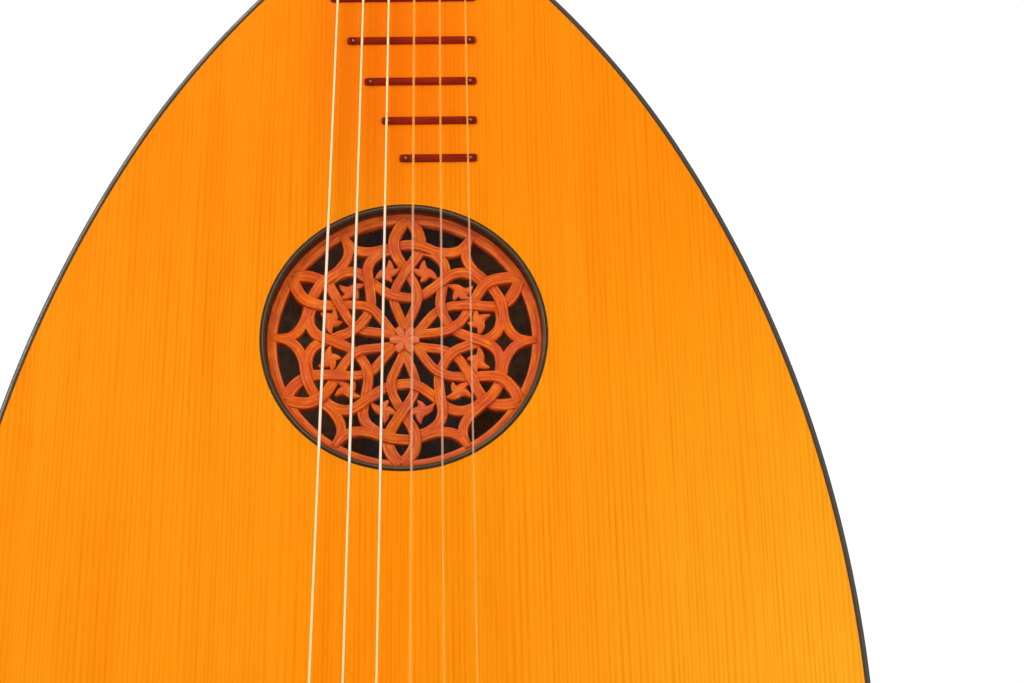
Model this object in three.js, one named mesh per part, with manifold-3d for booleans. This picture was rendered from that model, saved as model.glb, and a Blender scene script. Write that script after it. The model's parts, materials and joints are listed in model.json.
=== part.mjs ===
// A lute-guitar: pear-shaped flat soundboard with a carved rose, round back of nine ribs,
// fixed bar frets, six single strings and a bent-back pegbox with six friction pegs.
// Units are millimetres. +Z runs up the neck, -Y is the side the player's hand plucks,
// -X is the bass side, and the origin is the centre of the end button's flat face.

import * as THREE from 'three';
import { mergeVertices } from 'three/addons/utils/BufferGeometryUtils.js';
import Module from 'manifold-3d';

const wasm = await Module();
wasm.setup();

// ---- Driving dimensions -------------------------------------------------------------------

const STRING_LENGTH = 650;
const BODY_HALF_WIDTH = 152.1;
const FLANK_RADIUS = 447; // arc of the side above the widest line
const SHOULDER_RISE = 211.7; // widest line to where the shoulder arc takes over
const SHOULDER_RADIUS = 335;
const TAIL_LENGTH = 137.4; // widest line to the tail
const WIDEST_TO_ROSE = 139.6;
const ROSE_TO_JOINT = 162.6; // rose centre to the neck joint
const BRIDGE_TO_ROSE = 189.6;
const BOWL_DEPTH_RATIO = 0.95; // depth of the back over its half-width
const RIB_COUNT = 9;
const RIB_THICKNESS = 2;
const SOUNDBOARD_THICKNESS = 2.5;
const EDGING_WIDTH = 2.2;
const EDGING_RISE = 0.4;
const FACE_Y = -18; // the soundboard's outer face
const TAIL_Z = 17; // lowest point of the ribs

const RING_RADIUS = 50;
const RING_WIDTH = 1.9;
const RING_RISE = 0.5;
const ROSE_RADIUS = 48;
const ROSE_WINDOW_RADIUS = 44.7; // inner edge of the rose's rim
const ROSE_RECESS = 5.2;
const ROSE_THICKNESS = 2.5;
const ROSE_BOSS_RADIUS = 5.1; // centre button of the pattern
const ROSE_TURN = THREE.MathUtils.degToRad(-1.2);

const NUT_HALF_WIDTH = 24;
const NUT_LENGTH = 5;
const NUT_RISE = 1.1;
const FINGERBOARD_THICKNESS = 3;
const NECK_DEPTH_AT_NUT = 19;
const BEND_ANGLE = THREE.MathUtils.degToRad(62);
const PEGBOX_LENGTH = 175;
const PEGBOX_END_HALF_WIDTH = 16;
const PEGBOX_ROOT_DEPTH = 20;
const PEGBOX_END_DEPTH = 15;
const PEGBOX_BACK_THICKNESS = 3.5;
const CHEEK_THICKNESS = 5;
const GLUE_GAP = 0.2; // between pieces glued on sloping faces
const SCREW_RADIUS = 3; // long screw that pulls the neck against its block
const BUTTON_SHANK_RADIUS = 4;

const PEG_RADIUS = 4.2;
const PEG_CLEARANCE = 0.12;
const PEG_SIDES = 16;
const COLLAR_RADIUS = 6.2;
const PEG_SPACING = 24;
const FIRST_PEG = 30; // nut end of the pegbox to the first peg

const FRET_COUNT = 16;
const FRET_WIDTH = 3;
const FRET_RISE = 1.2;
const FIRST_FANNED_FRET = 12; // from here on each fret starts a step further from the bass side
const FANNED_FRET_START = -27.9;
const FANNED_FRET_STEP = 6.5;
const FANNED_FRET_END = 26.1;

// Strings fan out from nut to bridge. Both lines are given at the rose's height.
const STRING_GAP = 10.1;
const STRING_GAP_SLOPE = -0.0053;
const STRING_CENTRE_X = -1.9;
const STRING_CENTRE_SLOPE = 0.0051;
const BRIDGE_STRING_RISE = 9; // soundboard to the underside of a string at the bridge
const STRING_RADII = [0.36, 0.4, 0.45, 0.5, 0.52, 0.55]; // string 1 is the highest

// ---- Derived dimensions -------------------------------------------------------------------

const WIDEST_Z = TAIL_Z + TAIL_LENGTH;
const ROSE_Z = WIDEST_Z + WIDEST_TO_ROSE;
const JOINT_Z = ROSE_Z + ROSE_TO_JOINT;
const BRIDGE_Z = ROSE_Z - BRIDGE_TO_ROSE;
const NUT_Z = BRIDGE_Z + STRING_LENGTH;
const BACK_PLANE_Y = FACE_Y + SOUNDBOARD_THICKNESS; // where the ribs meet the soundboard
const SHOULDER_ANGLE = Math.asin(SHOULDER_RISE / FLANK_RADIUS);
const SHOULDER_CENTRE_X = BODY_HALF_WIDTH - FLANK_RADIUS
  + (FLANK_RADIUS - SHOULDER_RADIUS) * Math.cos(SHOULDER_ANGLE);
const SHOULDER_CENTRE_Z = WIDEST_Z + (FLANK_RADIUS - SHOULDER_RADIUS) * Math.sin(SHOULDER_ANGLE);
const JOINT_HALF_WIDTH = halfWidth(JOINT_Z);

const WOOD = {
  spruce: material(0xfd9215, 0.35),
  ebony: material(0x2c231c, 0.4),
  rose: material(0xd95a22, 0.5),
  lightRib: material(0xc98a4b, 0.35),
  darkRib: material(0x6e3420, 0.35),
  inner: material(0xc9a878, 0.8),
  neck: material(0x7a3c20, 0.4),
  fret: material(0x96301c, 0.45),
  peg: material(0x33221a, 0.35),
};
const BONE = material(0xe9dfc6, 0.4);
const NYLON = material(0xf0e8da, 0.3);
const STEEL = material(0x8c8c90, 0.4, 0.9);

const instrument = new THREE.Group();

// ---- Helpers ------------------------------------------------------------------------------

function material(color, roughness, metalness = 0) {
  return new THREE.MeshStandardMaterial({ color, roughness, metalness });
}

function addPiece(name, geometry, look, parent = instrument) {
  const mesh = new THREE.Mesh(geometry, look);
  mesh.name = name;
  parent.add(mesh);
  return mesh;
}

function point(x, y, z) {
  return new THREE.Vector3(x, y, z);
}

function signedVolume(points, faces) {
  const cross = new THREE.Vector3();
  return faces.reduce((sum, [a, b, c]) => {
    cross.crossVectors(points[b], points[c]);
    return sum + points[a].dot(cross);
  }, 0);
}

// Makes a geometry from points and triangles, turned so that its faces point out.
function solid(points, faces) {
  const outward = signedVolume(points, faces) > 0;
  const index = faces.flatMap(([a, b, c]) => (outward ? [a, b, c] : [a, c, b]));
  const geometry = new THREE.BufferGeometry();
  geometry.setAttribute(
    'position',
    new THREE.Float32BufferAttribute(points.flatMap((p) => p.toArray()), 3),
  );
  geometry.setIndex(index);
  geometry.computeVertexNormals();
  return geometry;
}

// Joins equal-length rings of points into a skin and closes both ends with a fan.
function loft(rings) {
  const size = rings[0].length;
  const points = rings.flat();
  const faces = [];
  for (let r = 0; r + 1 < rings.length; r++) {
    for (let i = 0; i < size; i++) {
      const j = (i + 1) % size;
      const a = r * size;
      const b = a + size;
      faces.push([a + i, b + i, b + j], [a + i, b + j, a + j]);
    }
  }
  for (const [ring, flip] of [[0, false], [rings.length - 1, true]]) {
    const centre = new THREE.Vector3();
    rings[ring].forEach((p) => centre.addScaledVector(p, 1 / size));
    const hub = points.push(centre) - 1;
    for (let i = 0; i < size; i++) {
      const a = ring * size + i;
      const b = ring * size + ((i + 1) % size);
      faces.push(flip ? [a, hub, b] : [a, b, hub]);
    }
  }
  return solid(points, faces);
}

// Closes two matching grids of points, an outer and an inner one, into a thin shell.
function shell(outer, inner) {
  const rows = outer.length;
  const columns = outer[0].length;
  const points = [...outer.flat(), ...inner.flat()];
  const at = (r, c) => r * columns + c;
  const under = (r, c) => rows * columns + at(r, c);
  const faces = [];
  const quad = (a, b, c, d) => faces.push([a, b, c], [a, c, d]);
  for (let r = 0; r + 1 < rows; r++) {
    for (let c = 0; c + 1 < columns; c++) {
      quad(at(r, c), at(r, c + 1), at(r + 1, c + 1), at(r + 1, c));
      quad(under(r, c), under(r + 1, c), under(r + 1, c + 1), under(r, c + 1));
    }
    const last = columns - 1;
    quad(at(r, 0), at(r + 1, 0), under(r + 1, 0), under(r, 0));
    quad(at(r, last), under(r, last), under(r + 1, last), at(r + 1, last));
  }
  for (let c = 0; c + 1 < columns; c++) {
    const last = rows - 1;
    quad(at(0, c), under(0, c), under(0, c + 1), at(0, c + 1));
    quad(at(last, c), at(last, c + 1), under(last, c + 1), under(last, c));
  }
  return solid(points, faces);
}

function toManifold(geometry) {
  const bare = geometry.clone();
  bare.deleteAttribute('normal');
  bare.deleteAttribute('uv');
  const merged = mergeVertices(bare, 1e-4);
  return new wasm.Manifold(new wasm.Mesh({
    numProp: 3,
    vertProperties: new Float32Array(merged.attributes.position.array),
    triVerts: new Uint32Array(merged.index.array),
  }));
}

function fromManifold(body) {
  const { vertProperties, triVerts } = body.getMesh();
  const geometry = new THREE.BufferGeometry();
  geometry.setAttribute('position', new THREE.Float32BufferAttribute(vertProperties, 3));
  geometry.setIndex([...triVerts]);
  geometry.computeVertexNormals();
  return geometry;
}

// Extrudes an outline drawn in face coordinates (x, height up the neck) between two depths.
function plate(outline, frontY, backY, holes = []) {
  const shape = new THREE.Shape(outline);
  shape.holes = holes.map((hole) => new THREE.Path(hole));
  const geometry = new THREE.ExtrudeGeometry(shape, { depth: backY - frontY, bevelEnabled: false });
  geometry.rotateX(Math.PI / 2);
  geometry.translate(0, backY, 0);
  return geometry;
}

function circle(radius, count, x = 0, y = 0) {
  return Array.from({ length: count }, (_, i) => {
    const angle = (2 * Math.PI * i) / count;
    return new THREE.Vector2(x + radius * Math.cos(angle), y + radius * Math.sin(angle));
  });
}

function range(count, from, to) {
  return Array.from({ length: count }, (_, i) => from + ((to - from) * i) / (count - 1));
}

// ---- Body outline and bowl ----------------------------------------------------------------

// Half the body's width at height z: a half ellipse at the tail, then two arcs up to the neck.
// The inset is measured square to the outline.
function halfWidth(z, inset = 0) {
  const rise = z - WIDEST_Z;
  if (rise < 0) {
    const share = rise / (TAIL_LENGTH - inset);
    return (BODY_HALF_WIDTH - inset) * Math.sqrt(1 - share ** 2);
  }
  if (rise < (FLANK_RADIUS - inset) * Math.sin(SHOULDER_ANGLE)) {
    const reach = Math.sqrt((FLANK_RADIUS - inset) ** 2 - rise ** 2);
    return BODY_HALF_WIDTH - FLANK_RADIUS + reach;
  }
  const reach = Math.sqrt((SHOULDER_RADIUS - inset) ** 2 - (z - SHOULDER_CENTRE_Z) ** 2);
  return SHOULDER_CENTRE_X + reach;
}

// Points of the half outline from the tail angle given up to the neck, with unit normals.
function profile(tailAngle, tailSteps, sideSteps) {
  const tail = range(tailSteps, tailAngle, Math.PI / 2).map((angle) => {
    const normal = new THREE.Vector2(
      TAIL_LENGTH * Math.sin(angle),
      -BODY_HALF_WIDTH * Math.cos(angle),
    ).normalize();
    return {
      w: BODY_HALF_WIDTH * Math.sin(angle),
      z: WIDEST_Z - TAIL_LENGTH * Math.cos(angle),
      normal,
    };
  });
  const jointAngle = Math.asin((JOINT_Z - SHOULDER_CENTRE_Z) / SHOULDER_RADIUS);
  const side = range(sideSteps + 1, 0, jointAngle).slice(1).map((angle) => {
    const normal = new THREE.Vector2(Math.cos(angle), Math.sin(angle));
    const onFlank = angle < SHOULDER_ANGLE;
    const radius = onFlank ? FLANK_RADIUS : SHOULDER_RADIUS;
    return {
      w: (onFlank ? BODY_HALF_WIDTH - FLANK_RADIUS : SHOULDER_CENTRE_X) + radius * normal.x,
      z: (onFlank ? WIDEST_Z : SHOULDER_CENTRE_Z) + radius * normal.y,
      normal,
    };
  });
  return [...tail, ...side];
}

function bowlPoint(step, angle, inset) {
  const w = step.w - inset * step.normal.x;
  const z = step.z - inset * step.normal.y;
  return point(w * Math.cos(angle), BACK_PLANE_Y + BOWL_DEPTH_RATIO * w * Math.sin(angle), z);
}

function buildRibs() {
  const steps = profile(THREE.MathUtils.degToRad(9), 11, 12);
  for (let i = 0; i < RIB_COUNT; i++) {
    const edges = [i, i + 1].map((edge) => (Math.PI * edge) / RIB_COUNT);
    const grid = (inset) => steps.map((step) => edges.map((a) => bowlPoint(step, a, inset)));
    const look = i % 2 ? WOOD.lightRib : WOOD.darkRib;
    addPiece(`rib_${i + 1}`, shell(grid(0), grid(RIB_THICKNESS)), look);
  }
}

// A half-round block that follows the inside of the ribs between two heights.
function bowlBlock(heights) {
  const sides = 12;
  const clearance = RIB_THICKNESS + 1;
  return loft(heights.map((z) => {
    const w = halfWidth(z, clearance) * Math.cos(Math.PI / (2 * RIB_COUNT));
    return range(sides + 1, 0, Math.PI).map((angle) => point(
      w * Math.cos(angle),
      BACK_PLANE_Y + BOWL_DEPTH_RATIO * w * Math.sin(angle),
      z,
    ));
  }));
}

function buildBlocks() {
  const screwY = FACE_Y + 14;
  const blockFoot = JOINT_Z - 45;
  const screwHole = rod(SCREW_RADIUS + 0.3, screwY, blockFoot - 1, JOINT_Z + 42);
  const block = toManifold(bowlBlock(range(4, blockFoot, JOINT_Z))).subtract(screwHole);
  addPiece('neck_block', fromManifold(block), WOOD.inner);

  const neck = toManifold(neckSolid()).subtract(screwHole);
  addPiece('neck', fromManifold(neck), WOOD.neck);

  // A domed head under the block and a pointed shank that ends inside the neck.
  const headProfile = [[0, -4], [4.5, -4], [6, -2.5], [6, 0]];
  const shankProfile = [[SCREW_RADIUS, 0], [SCREW_RADIUS, 78], [0, 84]];
  const screw = lathe([...headProfile, ...shankProfile], 12);
  screw.translate(0, screwY, blockFoot - 0.3);
  addPiece('neck_screw', screw, STEEL);

  const tail = toManifold(bowlBlock([4, 7, 12, 20].map((rise) => TAIL_Z + rise)));
  addPiece('tail_block', fromManifold(tail.subtract(buttonHole())), WOOD.inner);
}

// A round bar along Z, used to cut holes.
function rod(radius, y, lowZ, highZ) {
  const ring = (z) => circle(radius, 16, 0, y).map((p) => point(p.x, p.y, z));
  return toManifold(loft([ring(lowZ), ring(highZ)]));
}

// The hole for the end button's shank, through the clasp, ribs and tail block.
function buttonHole() {
  return rod(BUTTON_SHANK_RADIUS + 0.6, 0, TAIL_Z - 10, TAIL_Z + 18);
}

// A solid turned round the Z axis from [radius, height] pairs.
function lathe(profilePoints, sides) {
  const points = profilePoints.map(([radius, height]) => new THREE.Vector2(radius, height));
  return new THREE.LatheGeometry(points, sides).rotateX(Math.PI / 2);
}

// ---- Soundboard, edging, rose and bridge --------------------------------------------------

// The outline moved inwards, from the joint on the treble side round the tail to the bass side.
function outline(inset) {
  const half = profile(0, 17, 16).map((step) => {
    const z = Math.min(step.z - inset * step.normal.y, JOINT_Z);
    return new THREE.Vector2(Math.max(step.w - inset * step.normal.x, 0), z);
  });
  half[half.length - 1].y = JOINT_Z;
  const bass = half.slice(1).map((p) => new THREE.Vector2(-p.x, p.y));
  return [...half.reverse(), ...bass];
}

function buildSoundboard() {
  const inner = outline(EDGING_WIDTH);
  const outer = outline(0);
  const hole = circle(RING_RADIUS, 48, 0, ROSE_Z);
  const board = plate(inner, FACE_Y, BACK_PLANE_Y, [hole]);
  addPiece('soundboard', board, WOOD.spruce);

  const rings = outer.map((edge, i) => [
    point(edge.x, FACE_Y, edge.y),
    point(edge.x, BACK_PLANE_Y, edge.y),
    point(inner[i].x, BACK_PLANE_Y, inner[i].y),
    point(inner[i].x, FACE_Y, inner[i].y),
    point((edge.x + inner[i].x) / 2, FACE_Y - EDGING_RISE, (edge.y + inner[i].y) / 2),
  ]);
  addPiece('soundboard_edging', loft(rings), WOOD.ebony);

  const inside = circle(RING_RADIUS - RING_WIDTH, 48, 0, ROSE_Z);
  const ring = plate(hole, FACE_Y - RING_RISE, FACE_Y + ROSE_RECESS + 1.2, [inside]);
  addPiece('rose_ring', ring, WOOD.ebony);
}

// Ribbons of the rose, drawn for the upward axis of a six-fold pattern, on a rim of radius 1.
// Each row is [across, up, half-width]. The petal ribbon runs from the centre to the rim.
const PETAL = [
  [0, 0.09, 0.036], [0.064, 0.25, 0.037], [0.094, 0.37, 0.037], [0.078, 0.45, 0.037],
  [0, 0.6, 0.04], [-0.084, 0.74, 0.043], [-0.103, 0.82, 0.045], [-0.072, 0.95, 0.048],
  [0, 1.035, 0.045],
];
// Half of each cross band, from the axis outwards. The other half is its mirror image.
const OUTER_BAND = [
  [0, 0.822, 0.042], [0.16, 0.792, 0.042], [0.32, 0.757, 0.04], [0.44, 0.797, 0.036],
  [0.505, 0.895, 0.02],
];
const INNER_BAND = [
  [0, 0.365, 0.04], [0.14, 0.397, 0.04], [0.26, 0.484, 0.042], [0.38, 0.573, 0.042],
  [0.52, 0.566, 0.04], [0.61, 0.485, 0.034],
];
// Small four-armed leaf beside the axis: centre, then the arms' tips.
const LEAF_CENTRE = [0.148, 0.585];
const LEAF_TIPS = [[0.05, 0.615], [0.136, 0.675], [0.24, 0.525], [0.115, 0.51]];

function mirrored(rows) {
  return rows.map(([across, up, width]) => [-across, up, width]);
}

function bothHalves(rows) {
  return [...mirrored(rows).reverse().slice(0, -1), ...rows];
}

// The outline of a ribbon whose centre line and width follow the rows.
function ribbonOutline(rows, steps) {
  const curve = new THREE.CatmullRomCurve3(rows.map((row) => point(...row)), false, 'catmullrom');
  const left = [];
  const right = [];
  for (const t of range(steps + 1, 0, 1)) {
    const { x, y, z } = curve.getPoint(t);
    const along = curve.getTangent(t).setZ(0).normalize();
    left.push(new THREE.Vector2(x - along.y * z, y + along.x * z));
    right.unshift(new THREE.Vector2(x + along.y * z, y - along.x * z));
  }
  return [...left, ...right];
}

function leafOutline(side) {
  const [cx, cy] = LEAF_CENTRE;
  const waist = 0.026;
  const tipWidth = 0.012;
  return LEAF_TIPS.flatMap(([x, y], i) => {
    const out = new THREE.Vector2(x - cx, y - cy).normalize();
    const [nx, ny] = LEAF_TIPS[(i + 1) % LEAF_TIPS.length];
    const next = new THREE.Vector2(nx - cx, ny - cy).normalize();
    const valley = out.clone().add(next).normalize().multiplyScalar(waist);
    return [
      new THREE.Vector2(side * (x - out.y * tipWidth), y + out.x * tipWidth),
      new THREE.Vector2(side * (x + out.y * tipWidth), y - out.x * tipWidth),
      new THREE.Vector2(side * (cx + valley.x), cy + valley.y),
    ];
  });
}

function rosePlate(points, turn, raise = 0) {
  const cos = Math.cos(turn + ROSE_TURN) * ROSE_WINDOW_RADIUS;
  const sin = Math.sin(turn + ROSE_TURN) * ROSE_WINDOW_RADIUS;
  const placed = points.map((p) => new THREE.Vector2(
    p.x * cos - p.y * sin,
    ROSE_Z + p.x * sin + p.y * cos,
  ));
  const front = FACE_Y + ROSE_RECESS;
  return toManifold(plate(placed, front - raise, front + ROSE_THICKNESS));
}

function buildRose() {
  const rimOutline = circle(ROSE_RADIUS, 48, 0, ROSE_Z);
  const rimHole = circle(ROSE_WINDOW_RADIUS, 48, 0, ROSE_Z);
  const front = FACE_Y + ROSE_RECESS;
  let rose = toManifold(plate(rimOutline, front, front + ROSE_THICKNESS, [rimHole]));
  const boss = circle(ROSE_BOSS_RADIUS / ROSE_WINDOW_RADIUS, 12);
  rose = rose.add(rosePlate(boss, 0, 0.5));
  const motifs = [
    ribbonOutline(PETAL, 12),
    ribbonOutline(mirrored(PETAL), 12),
    ribbonOutline(bothHalves(OUTER_BAND), 12),
    ribbonOutline(bothHalves(INNER_BAND), 16),
    leafOutline(1),
    leafOutline(-1),
  ];
  for (let sector = 0; sector < 6; sector++) {
    for (const motif of motifs) {
      rose = rose.add(rosePlate(motif, (sector * Math.PI) / 3));
    }
  }
  const disc = toManifold(plate(rimOutline, front - 1, front + ROSE_THICKNESS));
  addPiece('rose', fromManifold(rose.intersect(disc).simplify(0.06)), WOOD.rose);
}

// A tie bridge: a block under the strings with a low wing that narrows at each end.
function buildBridge() {
  const length = 16;
  const middleX = stringCentreX(-BRIDGE_TO_ROSE);
  const wing = [[70, 2, 4], [62, 3.2, 0], [50, 4, 0], [38, 10.2, 0]]; // from middle, rise, pinch
  const otherWing = wing.map(([out, rise, pinch]) => [-out, rise, pinch]).reverse();
  const rings = [...wing, ...otherWing].map(([out, rise, pinch]) => {
    const x = middleX + out;
    const low = BRIDGE_Z - length + pinch;
    const high = BRIDGE_Z - pinch;
    return [
      point(x, FACE_Y, low),
      point(x, FACE_Y, high),
      point(x, FACE_Y - rise + 1, high),
      point(x, FACE_Y - rise, high - 1.5),
      point(x, FACE_Y - rise, low + 2.5),
      point(x, FACE_Y - rise * 0.7, low),
    ];
  });
  addPiece('bridge', loft(rings), WOOD.ebony);
}

function buildEndClasp() {
  const halfAngle = THREE.MathUtils.degToRad(72);
  const depthMiddle = 30;
  const depthEnd = 6;
  const grid = (offset) => range(25, -halfAngle, halfAngle).map((angle) => {
    const taper = 1 - (angle / halfAngle) ** 2;
    return range(5, 0, depthEnd + (depthMiddle - depthEnd) * taper).map((depth) => {
      const bowlDepth = BODY_HALF_WIDTH * BOWL_DEPTH_RATIO;
      const shrink = Math.sqrt(1 - (depth / bowlDepth) ** 2);
      const x = BODY_HALF_WIDTH * shrink * Math.sin(angle);
      const drop = TAIL_LENGTH * shrink * Math.cos(angle);
      const normal = point(x / BODY_HALF_WIDTH ** 2, depth / bowlDepth ** 2, -drop / TAIL_LENGTH ** 2);
      return point(x, BACK_PLANE_Y + depth, WIDEST_Z - drop)
        .addScaledVector(normal.normalize(), offset);
    });
  });
  const hole = buttonHole();
  const clasp = toManifold(shell(grid(1.7), grid(0.3)));
  addPiece('end_clasp', fromManifold(clasp.subtract(hole)), WOOD.ebony);

  for (const name of ['rib_4', 'rib_5', 'rib_6']) {
    const rib = instrument.getObjectByName(name);
    rib.geometry = fromManifold(toManifold(rib.geometry).subtract(hole));
  }

  const knob = [[0, 0], [6.5, 0], [8, 1.5], [8, 4], [5, 7.5], [5.5, 12], [7, 14.6]];
  const shank = [[BUTTON_SHANK_RADIUS, 14.6], [BUTTON_SHANK_RADIUS, 30], [0, 31]];
  addPiece('end_button', lathe([...knob, ...shank], 20), WOOD.peg);
}

function buildBraces() {
  const rises = [103, 63, -63, -122];
  rises.forEach((rise, i) => {
    const z = ROSE_Z + rise;
    const reach = halfWidth(z) - RIB_THICKNESS - 8;
    const stations = [[-1, 4], [-0.86, 14], [0.86, 14], [1, 4]];
    const rings = stations.map(([share, depth]) => [
      point(share * reach, BACK_PLANE_Y, z - 3),
      point(share * reach, BACK_PLANE_Y, z + 3),
      point(share * reach, BACK_PLANE_Y + depth, z + 1.5),
      point(share * reach, BACK_PLANE_Y + depth, z - 1.5),
    ]);
    addPiece(`brace_${i + 1}`, loft(rings), WOOD.inner);
  });
  const barTop = ROSE_Z - 68;
  const barEnd = ROSE_Z - 113;
  const rings = [[barTop, 52, 3], [barTop - 12, 56, 8], [barEnd + 12, 64, 8], [barEnd, 68, 3]]
    .map(([z, x, depth]) => [
      point(x - 2, BACK_PLANE_Y, z),
      point(x + 2, BACK_PLANE_Y, z),
      point(x + 1, BACK_PLANE_Y + depth, z),
      point(x - 1, BACK_PLANE_Y + depth, z),
    ]);
  addPiece('treble_bar', loft(rings), WOOD.inner);
}

// ---- Neck, fingerboard, nut and frets -----------------------------------------------------

// Half-width of the neck and fingerboard at height z.
function neckHalfWidth(z) {
  const share = (z - JOINT_Z) / (NUT_Z - JOINT_Z);
  return JOINT_HALF_WIDTH + (NUT_HALF_WIDTH - JOINT_HALF_WIDTH) * share;
}

// The pegbox root starts here, and its joint face leans back down the neck.
const PEGBOX_TOP = { y: FACE_Y + 1.5, z: NUT_Z + 6 };
const ROOT_LEAN = 0.4833; // along the pegbox over depth, on the joint face

function jointFaceZ(y) {
  const alongY = ROOT_LEAN * Math.sin(BEND_ANGLE) + Math.cos(BEND_ANGLE);
  const alongZ = ROOT_LEAN * Math.cos(BEND_ANGLE) - Math.sin(BEND_ANGLE);
  return PEGBOX_TOP.z + ((y - PEGBOX_TOP.y) * alongZ) / alongY;
}

function neckSolid() {
  const frontY = FACE_Y + FINGERBOARD_THICKNESS;
  const rootDepth = BOWL_DEPTH_RATIO * JOINT_HALF_WIDTH + BACK_PLANE_Y - frontY;
  const ring = (z, depth, leaning) => {
    const w = neckHalfWidth(z);
    return range(17, 0, Math.PI).map((angle) => {
      const y = frontY + depth * Math.sin(angle);
      return point(w * Math.cos(angle), y, leaning ? jointFaceZ(y) : z);
    });
  };
  return loft([
    ring(JOINT_Z, rootDepth, false),
    ring(JOINT_Z + 12, rootDepth - 2.5, false),
    ring(NUT_Z - 40, NECK_DEPTH_AT_NUT + 0.5, false),
    ring(NUT_Z, NECK_DEPTH_AT_NUT, true),
  ]);
}

function buildFingerboard() {
  const corner = (z, side) => new THREE.Vector2(side * neckHalfWidth(z), z);
  const board = [corner(JOINT_Z, -1), corner(JOINT_Z, 1), corner(NUT_Z, 1), corner(NUT_Z, -1)];
  addPiece('fingerboard', plate(board, FACE_Y, FACE_Y + FINGERBOARD_THICKNESS), WOOD.ebony);

  const top = FACE_Y - NUT_RISE;
  const end = NUT_Z + NUT_LENGTH - 0.2;
  const rings = [-1, 1].map((side) => [
    point(side * NUT_HALF_WIDTH, FACE_Y + FINGERBOARD_THICKNESS, NUT_Z),
    point(side * NUT_HALF_WIDTH, top, NUT_Z),
    point(side * NUT_HALF_WIDTH, top, end - 1.5),
    point(side * NUT_HALF_WIDTH, top + 1, end),
    point(side * NUT_HALF_WIDTH, FACE_Y + FINGERBOARD_THICKNESS, end),
  ]);
  addPiece('nut', loft(rings), BONE);
}

function fretZ(number) {
  return BRIDGE_Z + STRING_LENGTH * 2 ** (-number / 12);
}

// Bass and treble ends of a fret. The neck's frets stop just short of its edges.
function fretEnds(number) {
  if (number < FIRST_FANNED_FRET) {
    const reach = neckHalfWidth(Math.max(fretZ(number), JOINT_Z)) - 0.8;
    return [-reach, reach];
  }
  const bass = FANNED_FRET_START + FANNED_FRET_STEP * (number - FIRST_FANNED_FRET);
  return [bass, FANNED_FRET_END];
}

function buildFrets() {
  for (let number = 1; number <= FRET_COUNT; number++) {
    const z = fretZ(number);
    const [bass, treble] = fretEnds(number);
    const stations = [
      [bass, 0.45], [bass + 0.5, 0.8], [bass + 1.4, 1],
      [treble - 1.4, 1], [treble - 0.5, 0.8], [treble, 0.45],
    ];
    const rings = stations.map(([x, share]) => range(6, 0, Math.PI).map((angle) => point(
      x,
      FACE_Y - FRET_RISE * share * Math.sin(angle),
      z + (FRET_WIDTH / 2) * share * Math.cos(angle),
    )));
    addPiece(`fret_${number}`, loft(rings), WOOD.fret);
  }
}

// ---- Pegbox, pegs and strings -------------------------------------------------------------

// Inside the pegbox group, local Z runs along the pegbox and local Y into its depth.
const pegbox = new THREE.Group();
pegbox.position.set(0, PEGBOX_TOP.y, PEGBOX_TOP.z);
pegbox.rotation.x = -BEND_ANGLE;
instrument.add(pegbox);
pegbox.updateMatrixWorld(true);

function boxHalfWidth(along) {
  return NUT_HALF_WIDTH + ((PEGBOX_END_HALF_WIDTH - NUT_HALF_WIDTH) * along) / PEGBOX_LENGTH;
}

function boxDepth(along) {
  return PEGBOX_ROOT_DEPTH + ((PEGBOX_END_DEPTH - PEGBOX_ROOT_DEPTH) * along) / PEGBOX_LENGTH;
}

function rootAt(depth) {
  return GLUE_GAP + ROOT_LEAN * depth;
}

// Pegs in order along the pegbox: the string each one tunes, which side its head is on,
// and where its string lands across the pegbox.
const PEG_ORDER = [
  { string: 6, side: -1, across: -12 },
  { string: 1, side: 1, across: 11 },
  { string: 5, side: -1, across: -8 },
  { string: 2, side: 1, across: 7 },
  { string: 4, side: -1, across: -4 },
  { string: 3, side: 1, across: 3 },
].map((peg, i) => {
  const along = FIRST_PEG + PEG_SPACING * i;
  return { ...peg, along, depth: boxDepth(along) / 2 };
});

function cheek(side) {
  const rootBack = rootAt(PEGBOX_ROOT_DEPTH);
  const corners = [
    [rootAt(4), 4], [25, 0], [PEGBOX_LENGTH, 0],
    [PEGBOX_LENGTH, boxDepth(PEGBOX_LENGTH)], [rootBack, boxDepth(rootBack)],
  ];
  const face = (inset) => corners.map(([along, depth]) => point(
    side * (boxHalfWidth(along) - inset),
    depth,
    along,
  ));
  let body = toManifold(loft([face(0), face(CHEEK_THICKNESS)]));
  for (const peg of PEG_ORDER) {
    const radius = (PEG_RADIUS + PEG_CLEARANCE) / Math.cos(Math.PI / PEG_SIDES);
    const ring = (x) => circle(radius, PEG_SIDES, peg.depth, peg.along)
      .map((p) => point(x, p.x, p.y));
    body = body.subtract(toManifold(loft([ring(-40), ring(40)])));
  }
  return fromManifold(body);
}

// A block between two stations along the pegbox, from the front depth to the back depth.
function crossBlock(starts, ends, inset) {
  const ring = ([along, depth]) => [-1, 1].map((side) => point(
    side * (boxHalfWidth(along) - inset),
    depth,
    along,
  ));
  const [a, b, c, d] = [starts[0], starts[1], ends[1], ends[0]].map(ring);
  return loft([[a[0], b[0], c[0], d[0]], [a[1], b[1], c[1], d[1]]]);
}

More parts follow.
